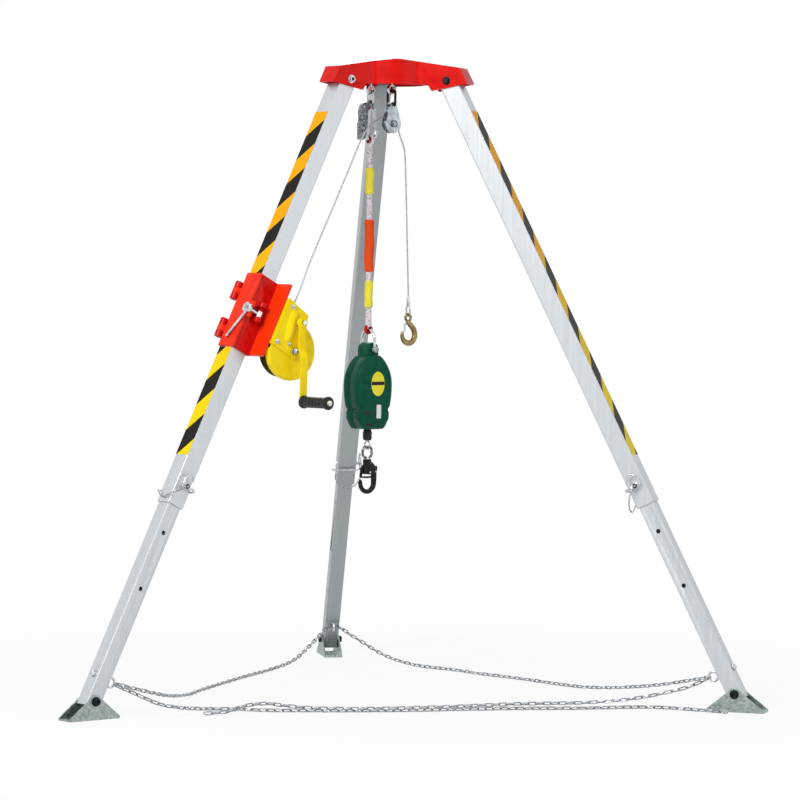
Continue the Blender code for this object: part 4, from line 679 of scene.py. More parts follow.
def chain_links(name, route, body, replaces=(), pitch=LINK_PITCH, wire=LINK_WIRE, radius=CHAIN_RADIUS,
                round_points=14, sides=6):
    """Welded links: each is a closed wire path with round ends, quarter turned from the last, strung on the
    route. All links of a run are one array: link by wire point by wire side."""
    fine = through(route, 900)
    run = run_of(fine)
    count = int(round((run[-1] - 0.004) / pitch))
    marks = (np.arange(count) + 0.5) * run[-1] / count
    centre = at_run(fine, run, marks)
    ahead = unit(at_run(fine, run, marks + 0.4 * pitch) - at_run(fine, run, marks - 0.4 * pitch))
    side = unit(np.cross(ahead, (0, 0, 1.0)))
    rise = np.cross(side, ahead)
    roll = np.radians(np.where(np.arange(count) % 2, 52.0, -38.0) + RNG.uniform(-9, 9, count))[:, None]
    wide = side * np.cos(roll) + rise * np.sin(roll)
    thin = np.cross(ahead, wide)
    half_long = pitch * 0.5 + wire * 0.9
    half_wide = radius - wire
    turn = np.linspace(0, 2 * np.pi, round_points, endpoint=False)
    straight = half_long - half_wide
    along = half_wide * np.cos(turn) + straight * np.sign(np.round(np.cos(turn), 6))
    across = half_wide * np.sin(turn)
    ring = np.linspace(0, 2 * np.pi, sides, endpoint=False)
    a = along[:, None] + wire * np.cos(ring) * np.cos(turn)[:, None]
    b = across[:, None] + wire * np.cos(ring) * np.sin(turn)[:, None]
    c = np.broadcast_to(wire * np.sin(ring), a.shape)
    points = (centre[:, None, None] + a[None, ..., None] * ahead[:, None, None]
              + b[None, ..., None] * wide[:, None, None] + c[None, ..., None] * thin[:, None, None])
    low = wire * 0.1
    points[..., 2] += np.maximum(0, low - points[..., 2].min(axis=(1, 2)))[:, None, None]
    rows, columns = points.shape[1:3]
    index = np.arange(rows * columns).reshape(rows, columns)
    down = np.roll(index, -1, 0)
    quad = np.stack([index, np.roll(index, -1, 1), np.roll(down, -1, 1), down], -1)
    faces = (quad.reshape(1, -1, 4) + (np.arange(count) * rows * columns)[:, None, None]).reshape(-1, 4)
    mesh = bpy.data.meshes.new(name)
    mesh.from_pydata(points.reshape(-1, 3), [], faces.tolist())
    return dressed(name, mesh, CHAIN_ZINC, body, 60, replaces)


def make_chain():
    """The chain behind, in one piece through the rear ring, and the two loose ends in front."""
    routes = chain_routes()
    joined = {"chain_rear": ("rear_left", "rear_right"), "chain_front_left": ("front_left",),
              "chain_front_right": ("front_right",)}
    for node, parts in joined.items():
        route = np.vstack([routes[part] for part in parts])
        made = chain_links(f"{node}_links", route, "head", (node,))


CABLE = 0.0025
BEND = 0.0235 + CABLE + GAP
REEL = 0.058 + CABLE + 0.0006


def on_leg(across, out, along):
    """A place in the left leg's frame as hanging-frame values."""
    radius = PIVOT_RADIUS + along * np.sin(LEG_ANGLE) + out * np.cos(LEG_ANGLE)
    return (-radius, -across, PIVOT_HEIGHT - along * np.cos(LEG_ANGLE) + out * np.sin(LEG_ANGLE))


def make_cables():
    """Six strands laid round the middle, one turn in 32 mm."""
    slope = np.radians(10.7)
    start = on_leg(0.0650, DRUM[0] + REEL * np.cos(slope), -DRUM[2] - REEL * np.sin(slope))
    lead = [start, on_leg(0.0650, -0.0995, 0.724), (-0.3586, -0.0505, 1.367), (-0.2322, -0.0276, 1.573),
            (-0.1300, -0.0087, 1.742), (-0.1120, -0.0060, 1.766), (-0.0780, -0.0020, 1.7960), (-0.0440, 0, 1.8110)]
    touch = arc_points((0, 0, SHEAVE_HEIGHT), BEND, 112, 0, 10)
    up = np.vstack([spaced(lead + [touch[0]], 0.040), touch[1:]])
    drop = [(BEND, 0, SHEAVE_HEIGHT - 0.006), (0.0300, 0, 1.7750), (0.0400, 0, 1.7500), (0.0570, 0, 1.704),
            (0.0650, 0, 1.558), (0.0740, 0, 1.334), (0.0765, 0, 1.279), (HOOK_X, 0, 1.250), (HOOK_X, 0, 1.2312)]
    down = np.vstack([[(BEND, 0, SHEAVE_HEIGHT - GAP)], spaced(drop, 0.036)])
    for node, route, lay in (("winch_cable", up, "taut"), ("hook_cable", down, "hanging")):
        length = run_of(through(route, 600))[-1]
        count = int(length / 0.0022)
        fine = through(route, count)
        points = tube_points(fine, CABLE, 18, (0, 1, 0), lobes=6, depth=0.16, twist=2 * np.pi / 0.032)
        made = surface(f"{node}_strands", points, WIRE, "head", HANG, replaces=(node,), slot="cable_wire",
                       sharp=80)


# Legs

def make_legs():
    """Each leg's solids with their rims eased, and the pieces on it."""
    for side, where in LEGS.items():
        bevelled(f"outer_leg_{side}", ALUMINIUM[side], 0.0008, 2)
        bevelled(f"inner_leg_{side}", ALUMINIUM[side], 0.0006, 2)
        bevelled(f"foot_shoe_{side}", ZINC, 0.0012, 3)
        bevelled(f"foot_bolt_{side}", BLACK_OXIDE, 0.0010, 3)
        # Black oxide on the right pivot bolt is painted shade; the pivot bolts are alike.
        bevelled(f"pivot_bolt_{side}", BLACK_OXIDE if side == "right" else BRIGHT, 0.0010, 3)
        make_socket_shade_plate(side, where)
        make_tape(side, where)
        make_chain_eye(side, where)
        make_lock_pin(side, where)
        make_lanyard(side, where)


def reach(node, where, axis):
    """How far a CAD solid goes along one axis of a frame."""
    mesh = NODES[node].data
    flat = np.empty(3 * len(mesh.vertices), np.float32)
    mesh.vertices.foreach_get("co", flat)
    along = (flat.reshape(-1, 3) - where[:3, 3]) @ where[:3, axis]
    return along.min(), along.max()


def make_socket_shade_plate(side, where):
    """A thin black hexagon on the head of the pivot bolt, on the side that has the lock pin's knob: painted shade
    that stands for the socket's hollow.
    """
    node = f"pivot_bolt_{side}"
    low, high = reach(node, where, 1)
    end, way = (high, 1) if PIN_SIDE[side] > 0 else (low, -1)
    low, high = sorted((end - way * 0.0010, end + way * GAP))
    # The black plate is painted shade in place of the socket's depth.
    plate(f"pivot_socket_{side}", hexagon(0, 0, 0.0066, 0.0004), low, high, 0.0001, BLACK_NYLON,
          NODES[node]["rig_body"], where, steps=2)


# Where a black band starts on each leg's tape, and the pitch of the bands
TAPE_BANDS = {"left": (0.020, 0.168), "right": (0.148, 0.166), "rear": (0.050, 0.168)}


def make_tape(side, where):
    """Film on the outer face, from under the head to just above the lock pin, cut square at both ends."""
    places = {"left": [(0.130, 0.6935), (0.9425, 1.305)]}.get(side, [(0.120, 1.305)])
    half = HALF_TUBE - 0.0008
    for number, (start, end) in enumerate(places):
        along = np.linspace(start, end, 40)
        sunk, proud = HALF_TUBE - 0.0002, HALF_TUBE + 0.00022
        ring = np.array([(sunk, -half), (proud, -half), (proud, half), (sunk, half)])
        points = np.concatenate([
            np.broadcast_to(ring[None], (len(along), 4, 2)),
            np.broadcast_to(-along[:, None, None], (len(along), 4, 1)),
        ], -1)
        name = f"hazard_tape_{side}_{number}" if len(places) > 1 else f"hazard_tape_{side}"
        finish = bpy.data.materials.get(f"hazard_film_{side}") or hazard_tape(side, *TAPE_BANDS[side])
        made = surface(name, points, finish, f"outer_leg_{side}", where, uv=(1.0, along), weld=False)
        layer = made.data.uv_layers["UVMap"]
        count = len(made.data.loops)
        index = np.zeros(count, np.int32)
        made.data.loops.foreach_get("vertex_index", index)
        local = points.reshape(-1, 3)[index]
        layer.data.foreach_set("uv", np.stack([local[:, 1], -local[:, 2]], -1).astype(np.float32).ravel())


def make_chain_eye(side, where):
    """A turned bolt through the inner tube with its domed nut and collar, and a wire ring on it."""
    body = f"inner_leg_{side}"
    centre = (-CHAIN_RING_OUT, 0, -CHAIN_EYE_PLACE)
    shank = rounded([(0, -0.031), (0.0040, -0.031), (0.0040, 0.0253), (0.0105, 0.0253), (0.0105, 0.0290),
                     (0.0070, 0.0350), (0, 0.0370)], 0.0012)
    spun(f"chain_eye_bolt_{side}", shank, BRIGHT, body, where, "X", (0, 0, -CHAIN_EYE_PLACE), 28,
         replaces=(f"chain_eye_{side}",), slot="bright_steel")
    tube(f"chain_eye_ring_{side}", arc_points(centre, CHAIN_RING, 0, 360, 40, endpoint=False), 0.0040, BRIGHT,
         body, where, 14, closed=True)
    spun(f"chain_eye_collar_{side}", rod(0.0080, -0.0290, -0.0253, 0.0008), BRIGHT, body, where, "X",
         (0, 0, -CHAIN_EYE_PLACE), 28)


def make_lock_pin(side, where):
    """A pin through both tubes with a collar and a rounded knob, a wire ring on it, and a wire bail that runs
    from it across the tube's inner face."""
    way = PIN_SIDE[side]
    body = f"lock_pin_{side}"
    half = HALF_TUBE
    profile = rounded([(0, -0.0340), (0.0055, -0.0340), (0.0070, -0.0310), (0.0070, half + GAP),
                       (0.0100, half + GAP), (0.0100, half + 0.006), (0.0065, half + 0.006),
                       (0.0065, half + 0.0215), (0, half + 0.0215)], 0.0014)
    here = where @ np.diag([way, way, 1.0, 1.0])
    place = (0, 0, -PIN_PLACE)
    spun(f"lock_pin_shank_{side}", profile, BRIGHT, body, here, "Y", place, 32, replaces=(body,),
         slot="bright_steel")
    knob = rounded([(0.0030, half + 0.0190), (0.0072, half + 0.0190), (0.0078, half + 0.0205),
                    (0.0060, half + 0.0220), (0.0030, half + 0.0220)], 0.0008, closed=True)
    spun(f"lock_pin_knob_{side}", knob, BLACK_NYLON, body, here, "Y", place, 28, ring=True)
    loop = rounded([(0.0, -0.0045), (0.0165, -0.0030), (0.0165, 0.0260), (0.0, 0.0410), (-0.0165, 0.0260),
                    (-0.0165, -0.0030)], 0.011, 8, closed=True)
    base = half + 0.0160
    path = np.stack([loop[:, 0], np.full(len(loop), base), loop[:, 1] - PIN_PLACE], -1)
    tube(f"lock_pin_ring_{side}", path, 0.0024, BRIGHT, body, here, 12, closed=True)
    across = np.array([(0, 0.0430, 0.0040), (-0.018, 0.0450, 0.0010), (-0.0340, 0.0415, -0.0020),
                       (-0.0378, 0.0300, -0.0040), (-0.0380, 0.0, -0.0050), (-0.0380, -0.0320, -0.0050),
                       (-0.0365, -0.0530, -0.0040)])
    bail = through(across * (1, way, 1) + (0, 0, -PIN_PLACE), 60)
    tube(f"lock_pin_bail_{side}", bail, 0.0034, BRIGHT, body, where, 14, (0, 0, 1))


# Places round the lock pin, in the leg frame: out of the tube, across it and up it
LANYARDS = {
    "outer": [(0.000, 0.0505, 0.001), (0.020, 0.0490, -0.020), (0.0370, 0.0375, -0.038), (0.0350, 0.0, -0.052),
              (0.0362, -0.0290, -0.038), (0.0330, -0.0375, -0.033), (0.012, -0.0325, -0.026)],
    "inner": [(0.000, 0.0505, 0.001), (-0.028, 0.0510, -0.022), (-0.050, 0.0320, -0.052), (-0.057, 0.0, -0.066),
              (-0.050, -0.0260, -0.054), (-0.036, -0.0380, -0.042), (-0.012, -0.0325, -0.034)],
}


def make_lanyard(side, where):
    """Fine twisted-link chain that ties the pin to its tube: it hangs from the ring, in a loop across a face of
    the tube, to a small eye on the far side."""
    way = PIN_SIDE[side]
    places = np.array(LANYARDS["outer" if side == "left" else "inner"])
    route = placed(places * (1, way, 1) + (0, 0, -PIN_PLACE), where)
    start, end = route[0], route[-1]
    made = chain_links(f"pin_lanyard_{side}", route, None, pitch=0.0085, wire=0.0010, radius=0.0031,
                       round_points=10, sides=5)
    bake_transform(made)
    eye = rounded([(0, 0.0298), (0.0040, 0.0298), (0.0040, 0.0318), (0.0016, 0.0330), (0, 0.0332)], 0.0006)
    local = np.linalg.inv(where) @ (*end, 1.0)
    spun(f"lanyard_eye_{side}", eye, BRIGHT, f"outer_leg_{side}", where @ np.diag([-way, -way, 1.0, 1.0]), "Y",
         (-way * local[0], 0, local[2]), 16)


# Head

def make_head():
    """The pressed head, and two eye bolts, each a shank, a ring and a hexagon collar."""
    bevelled("head_shell", RED_ENAMEL, 0.0030, 4, 50)
    for name, x, y in (("centre", 0, 0), ("left", SLING_X, SLING_Y)):
        node = f"eye_bolt_{name}"
        shank = rod(0.0050, EYE_HEIGHT + 0.0120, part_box(node)[1][2], 0.0010)
        spun(f"{node}_shank", shank, BRIGHT, "head", HANG, "Z", (x, y, 0), 24, replaces=(node,),
             slot="bright_steel")
        ring = arc_points((x, y, EYE_HEIGHT), EYE_RADIUS, 0, 360, 40, endpoint=False)
        tube(f"{node}_ring", ring, EYE_WIRE, BRIGHT, "head", HANG, 16, closed=True)
        outline = hexagon(x, y, 0.0095)
        ceiling = PIVOT_HEIGHT + HEAD_ROOF - 0.15 * 0.037 - 0.006
        plate(f"{node}_collar", outline, ceiling - 0.007, ceiling - GAP, 0.0008, BRIGHT, "head", HANG, "Z")
        if name == "centre":
            roof = PIVOT_HEIGHT + HEAD_ROOF + GAP
            plate(f"{node}_nut", outline, roof, roof + 0.0055, 0.0009, BRIGHT, "head", HANG, "Z")


# Pulley, hooks and sling

def make_pulley():
    """Cheeks, the axle's ring, the link above, and the sheave turned round a half-round groove."""
    bevelled("pulley_cheeks", PULLEY_STEEL, 0.0008, 2)
    face = reach("pulley_cheeks", HANG, 1)[0]
    nut = rounded([(0.0062, face + 0.0030), (0.0062, face - 0.0018), (0.0108, face - 0.0018),
                   (0.0108, face + 0.0030)], 0.0008, closed=True)
    spun("pulley_axle_ring", nut, DARK_ZINC_AND_SHEAVE_SHADE, "pulley", HANG, "Y", (0, 0, SHEAVE_HEIGHT), 32, True)
    top = EYE_HEIGHT - EYE_RADIUS + EYE_WIRE + GAP + 0.0040
    bottom = 1.853 + 0.0055 - GAP - 0.0040
    path = link_path((0, 0), 0.0185, 0.0060, top, bottom)
    tube("pulley_link_bar", path, 0.0040, BLACK_OXIDE, "pulley", HANG, 16, (1, 0, 0), True,
         replaces=("pulley_link",), slot="black_steel")
    angle = np.linspace(0, np.pi, 13)
    groove = np.stack([0.0235 + 0.0030 * (1 - np.sin(angle)), -0.0030 * np.cos(angle)], -1)
    outer = [(0.0063, -0.008), (0.0230, -0.0080), (0.0262, -0.0078), (0.0270, -0.0070), (0.0270, -0.0045)]
    profile = np.vstack([outer, groove, [(r, -h) for r, h in outer[::-1]]])
    # The sheave takes the dark finish as painted shade between the cheeks.
    spun("pulley_sheave_form", profile, DARK_ZINC_AND_SHEAVE_SHADE, "sheave", HANG, "Y", (0, 0, SHEAVE_HEIGHT), 48, True,
         replaces=("pulley_sheave",), slot="bright_steel")


def hook_bar(name, node, points, radii, finish, body, slot, count=90, sides=18):
    """A forged bar along a smooth curve whose thickness follows chosen sizes, with a rounded tip."""
    path = through(points, count)
    size = eased(radii, count)
    tip = np.sqrt(np.clip(1 - (1 - np.linspace(0, 1, 6)) ** 2, 0.02, 1))
    size[-6:] *= tip[::-1]
    size[:4] *= np.array([0.55, 0.8, 0.94, 1.0])
    tube(name, path, size, finish, body, HANG, sides, replaces=(node,), slot=slot)


def make_snap_hook():
    """Snap hook at the top of the sling, its gate, and the small shackle that carries it."""
    x, y, top, seat = SLING_X, SLING_Y, SNAP_TOP, SNAP_SEAT
    radius = 0.0290 - SNAP_WIRE
    bowl = arc_points((x, y, seat + radius), radius, 180, 355, 9)
    points = np.vstack([
        [(x + 0.003, y, top - 0.010), (x - radius * 0.55, y, top - 0.026), (x - radius, y, top - 0.044)], bowl,
        [(x + radius + 0.0005, y, seat + 0.028), (x + radius - 0.0005, y, seat + 0.034)],
    ])
    radii = [0.0056] + [SNAP_WIRE] * 11 + [0.0056, 0.0046]
    hook_bar("snap_hook_bar", "snap_hook", points, radii, BRIGHT, "sling", "zinc_plate")
    spine = np.array([(-0.0480, 1.7460), (-0.0260, 1.7460), (-0.0190, 1.7620), (-0.0140, 1.8000),
                      (-0.0140, 1.8400), (-0.0120, 1.8540), (-0.0180, 1.8630), (-0.0290, 1.8630),
                      (-0.0400, 1.8540), (-0.0460, 1.8380), (-0.0445, 1.8060), (-0.0490, 1.7980)]) + (x, 0)
    plate("snap_hook_spine", rounded(spine, 0.0045, 5, closed=True), y - 0.0070, y + 0.0070, 0.0018, DARK_ZINC_AND_SHEAVE_SHADE,
          "sling", HANG)
    rivet = rod(0.0034, -0.0078, 0.0078, 0.0010)
    for number, height in enumerate((1.7620, 1.7840, 1.8060, 1.8280, 1.8500)):
        spun(f"snap_hook_rivet_{number}", rivet, BRIGHT, "sling", HANG, "Y", (x - 0.0300, y, height), 18)
    spun("snap_hook_eye", collar(SNAP_EYE, 0.0115, -0.0060, 0.0060, 0.0022, 6), DARK_ZINC_AND_SHEAVE_SHADE, "sling", HANG, "Y",
         (x, y, top), 36, True)
    hinge = np.array([x + 0.0135, y, top - 0.0190])
    root = np.array([x + 0.004, y, top - 0.006])
    tip = np.array([x + radius - 0.0025, y, seat + 0.0386])
    gate("snap", root, hinge, tip, 0.0050, 0.0040, DARK_ZINC_AND_SHEAVE_SHADE, BRIGHT, "sling", "snap_gate", "snap_gate")
    link_top = EYE_HEIGHT - EYE_RADIUS + EYE_WIRE + GAP + 0.0035
    link_bottom = top + SNAP_EYE - GAP - 0.0035
    tube("snap_link_bar", link_path((x, y), 0.0130, 0.0050, link_top, link_bottom), 0.0035, BRIGHT, "sling",
         HANG, 14, (1, 0, 0), True, replaces=("snap_link",), slot="bright_steel")


def gate(name, root, hinge, tip, ear_size, bar_size, ear_finish, gate_finish, hook_body, gate_body, node):
    """The ear on the hook, and the gate: a barrel on its hinge with a bar down to the nose."""
    ear_end = hinge - unit(hinge - root) * (bar_size + 0.0005)
    ear = through([root, (root + ear_end) / 2, ear_end], 10)
    tube(f"{name}_ear", ear, ear_size, ear_finish, hook_body, HANG, 18)
    profile = rod(bar_size + 0.0002, -ear_size, ear_size, 0.0008)
    spun(f"{name}_gate_barrel", profile, gate_finish, gate_body, HANG, "Y", hinge, 24, replaces=(node,),
         slot="bright_steel")
    bar = through([hinge, (hinge + tip) / 2, tip], 24)
    tube(f"{name}_gate_bar", bar, eased([bar_size] * 8 + [bar_size * 0.92, bar_size * 0.7], 24), gate_finish,
         gate_body, HANG, 18)


def rope_loop(name, centre, radius, plane, thimble, finish):
    """An eye of the rope, round a thimble turned from a shallow channel."""
    about = {"YZ": (1, 0, 0), "XZ": (0, 1, 0)}[plane]
    path = arc_points(centre, radius, 0, 360, 64, plane, False)
    length = 2 * np.pi * radius
    points = tube_points(path, 0.0047, 22, about, closed=True)
    surface(f"{name}_strand", points, finish, "sling", HANG, loop_rows=True,
            uv=(0.03, np.linspace(0, length, 65)))
    inner = radius - 0.0047
    lip = np.array([(0.0016, -0.0060), (0.0028, -0.0060), (0.0005, -0.0020), (0.0005, 0.0020), (0.0028, 0.0060),
                    (0.0016, 0.0060), (-0.0009, 0.0020), (-0.0009, -0.0020)]) + (inner, 0)
    axis = {"YZ": "X", "XZ": "Y"}[plane]
    spun(f"{name}_thimble", rounded(lip, 0.0006, 3, closed=True), thimble, "sling", HANG, axis, centre, 40,
         True)


def make_sling():
    """Kernmantle rope: two eyes on thimbles, and sleeves over the splices."""
    x, y = SLING_X, SLING_Y
    upper = SNAP_SEAT + SNAP_WIRE + GAP + STRAND - UPPER_EYE_RADIUS
    top, bottom = upper - UPPER_EYE_RADIUS, LOWER_EYE + LOWER_EYE_RADIUS
    count = 150
    height = np.linspace(top + 0.004, bottom - 0.004, count)
    run = np.linspace(0, 1, count)
    size = 0.0096 * (1 + 0.02 * np.sin(run * 40))
    path = np.stack([np.full(count, x), np.full(count, y), height], -1)
    points = tube_points(path, size, 30, lobes=12, depth=0.05, twist=2 * np.pi / 0.060)
    surface("sling_rope_braid", points, ROPE, "sling", HANG, uv=(0.060, top - height), sharp=80,
            replaces=("sling_rope",), slot="rope_white")
    rope_loop("upper_eye", (x, y, upper), UPPER_EYE_RADIUS, "YZ", RED_NYLON, ROPE)
    rope_loop("lower_eye", (x, y, LOWER_EYE), LOWER_EYE_RADIUS, "XZ", RED_NYLON, RED_NYLON)
    sleeve("orange_sleeve", x, y, 1.3315, 1.495, 0.0182, 0.0034, ORANGE_SLEEVE, ("sling_sleeve",),
           "sleeve_orange", 3)
    sleeve("upper_yellow_sleeve", x, y, 1.576, 1.658, 0.0152, 0.0020, YELLOW_SLEEVE, (), None, 5)
    sleeve("lower_yellow_sleeve", x, y, 1.219, 1.3025, 0.0150, 0.0020, YELLOW_SLEEVE, (), None, 8)


def sleeve(name, x, y, low, high, radius, fold, finish, replaces, slot, seed):
    """A loose cloth sleeve: a wall that swells between its ends, with soft folds from a sum of sines, turned in
    at both ends to the rope."""
    rng = np.random.default_rng(seed)
    rows, columns = 90, 64
    t = np.linspace(0, 1, rows)[:, None]
    angle = np.linspace(0, 2 * np.pi, columns, endpoint=False)[None]
    wave = sum(
        rng.uniform(0.3, 1.0)
        * np.sin(rng.integers(1, 5) * angle + rng.uniform(4, 26) * t + rng.uniform(0, 6.3))
        for _ in range(7)
    ) / 4
    hem = np.clip(np.minimum(t, 1 - t) / 0.06, 0, 1) ** 0.5
    size = (radius - fold) * (0.86 + 0.14 * hem) + fold * wave * hem * 0.55
    sway = fold * 0.9 * np.sin(np.pi * t) * np.sin(rng.uniform(6, 9) * t + rng.uniform(0, 6.3))
    outer = np.stack([x + sway + size * np.cos(angle), y + 0.5 * sway + size * np.sin(angle),
                      np.broadcast_to(low + (high - low) * t, size.shape)], -1)
    neck = 0.0100
    round_x, round_y = x + neck * np.cos(angle[0]), y + neck * np.sin(angle[0])
    ends = [np.stack([round_x, round_y, np.full(columns, z)], -1) for z in (low + 0.001, high - 0.001)]
    points = np.concatenate([ends[0][None], outer, ends[1][None]])
    along = np.concatenate([[0], (high - low) * t[:, 0], [high - low]])
    surface(name, points, finish, "sling", HANG, uv=(2 * np.pi * radius, along), sharp=60, replaces=replaces,
            slot=slot)


# Fall-arrest block

def make_block():
    """Two housing halves over one outline, given as half widths at heights, with the lug, screws and plates."""
    x, y = SLING_X, SLING_Y
    rows = [(0.834, 0.020), (0.8350, 0.0400), (0.8450, 0.0485), (0.8560, 0.0540), (0.8640, 0.0600),
            (0.8860, 0.0610), (0.8900, 0.0572), (0.8965, 0.0575), (0.9060, 0.0650), (0.935, 0.0705),
            (0.960, 0.0725), (0.983, 0.0725), (1.005, 0.0695), (1.025, 0.0610), (1.045, 0.0480), (1.058, 0.036),
            (1.068, 0.024)]
    right = np.array([(x + half, height) for height, half in rows])
    left = np.array([(x - half, height) for height, half in rows[::-1]])
    corner = [0.004, 0.006, 0.008, 0.003, 0.003, 0.004, 0.002, 0.002, 0.006] + [0.02] * 7 + [0.006]
    outline = rounded(np.vstack([right, left]), corner + corner[::-1], 4, closed=True)
    lug_half = 0.0225
    crown = arc_points((x, 0, BOLT_HEIGHT), lug_half, 0, 180, 25)[:, [0, 2]]
    lug = np.vstack([crown, [(x - lug_half, 1.050), (x + lug_half, 1.050)]])
    screws = ((-0.046, 0.985), (0.048, 0.985), (-0.030, 0.870), (0.036, 0.870), (0, 1.036))
    for name, side in (("housing_front", -1), ("housing_back", 1)):
        seam, face = y + side * GAP / 2, y + side * HOUSING_HALF
        surface(f"{name}_shell", plate_half(outline, seam, face, 0.0130), GREEN_ABS, "block", HANG,
                replaces=(name,), slot="block_green", sharp=50)
        low, high = sorted((seam, y + side * BLOCK_HALF))
        plate(f"{name}_lug", lug, low, high, 0.0020, GREEN_ABS, "block", HANG)
        for number, (dx, z) in enumerate(screws):
            screw(f"{name}_screw_{number}", x + dx, z, face, side)
    front = y - HOUSING_HALF
    oval = np.radians(np.linspace(0, 360, 48, endpoint=False))
    ring = np.stack([x + 0.0090 + 0.0270 * np.cos(oval), 0.978 + 0.0385 * np.sin(oval)], -1)
    # Black plates on the face stand in for the drain slots' hollows: painted shade.
    slot_shade_plates = [(f"drain_slot_{number}", window(x + dx - wide, x + dx + wide, z - tall, z + tall, 0.0035, 4), 0.00020,
              0.0005, BLACK_NYLON)
             for number, (dx, z, wide, tall) in enumerate(((-0.034, 0.8885, 0.0120, 0.0050),
                                                           (-0.026, 0.8500, 0.0130, 0.0045)))]
    for name, shape, proud, sunk, finish in (
        ("oval_plate", ring, 0.00022, 0.0010, YELLOW_FILM),
        ("oval_band", window(x - 0.0170, x + 0.0350, 0.9740, 0.9850, 0.0004, 3), 0.0004, 0.0, BLACK_FILM),
        ("white_plate", window(x + 0.0040, x + 0.0225, 0.8690, 0.9120, 0.001, 3), 0.00025, 0.0010, WHITE_FILM),
        *slot_shade_plates,
    ):
        plate(name, shape, front - proud, front + sunk, 0.0001, finish, "block", HANG, steps=2)
    make_shackle()
    make_line_end()


def plate_half(outline, seam, face, edge):
    """One housing half: a straight wall at the seam, then a wide quarter round to the flat face, where each
    ring is the outline shrunk towards its middle, so that a notch never folds over."""
    outline = np.asarray(outline, float)
    low, high = outline.min(0), outline.max(0)
    middle, half = (low + high) / 2, (high - low) / 2
    way = np.sign(face - seam)
    angle = np.linspace(0, np.pi / 2, 9)
    draw = np.concatenate([[0.0006, 0, 0], edge * (1 - np.cos(angle))])
    height = np.concatenate([[seam, seam + way * 0.0006, face - way * edge * 1.001],
                             face - way * edge * (1 - np.sin(angle))])
    flat = middle + (outline - middle) * (1 - draw[:, None, None] / half)
    tall = np.broadcast_to(height[:, None], flat.shape[:2])
    return np.stack([flat[..., 0], tall, flat[..., 1]], -1)


def screw(name, x, z, face, side):
    """A pan-head screw, sunk by half."""
    profile = rod(0.0030, 0.0002, -0.0020, 0.0012) * (1, side)
    spun(name, profile, BLACK_OXIDE, "block", HANG, "Y", (x, face - side * 0.0002, z), 20)


def make_shackle():
    """A bow over the block's lug, two ears, and a bolt turned with a head at each end."""
    x, y, bolt = SLING_X, SLING_Y, BOLT_HEIGHT
    wire = 0.0050
    half = BLOCK_HALF + GAP + 0.0010 + wire
    top = LOWER_EYE - LOWER_EYE_RADIUS + STRAND + GAP + wire
    path = np.vstack([[(x, y + half, bolt)], arc_points((x, y, top - half), half, 0, 180, 40, "YZ"),
                      [(x, y - half, bolt)]])
    tube("block_shackle_bow", through(path, 70), wire, BRIGHT, "sling", HANG, 18, (1, 0, 0),
         replaces=("block_shackle",), slot="bright_steel")
    for number, way in enumerate((-1, 1)):
        low, high = sorted((way * (BLOCK_HALF + 0.0006), way * (half + 0.0048)))
        ear = collar(0.0053, 0.0100, low, high, 0.0012)
        spun(f"block_shackle_ear_{number}", ear, BRIGHT, "sling", HANG, "Y", (x, y, bolt), 28, True)
    end = half + 0.0048 + GAP
    shaft = rounded([(0, -end - 0.006), (0.0100, -end - 0.006), (0.0100, -end), (0.0050, -end),
                     (0.0050, end), (0.0100, end), (0.0100, end + 0.006), (0, end + 0.006)], 0.0012)
    spun("shackle_bolt_form", shaft, ZINC, "sling", HANG, "Y", (x, y, bolt), 28, replaces=("shackle_bolt",),
         slot="zinc_plate")


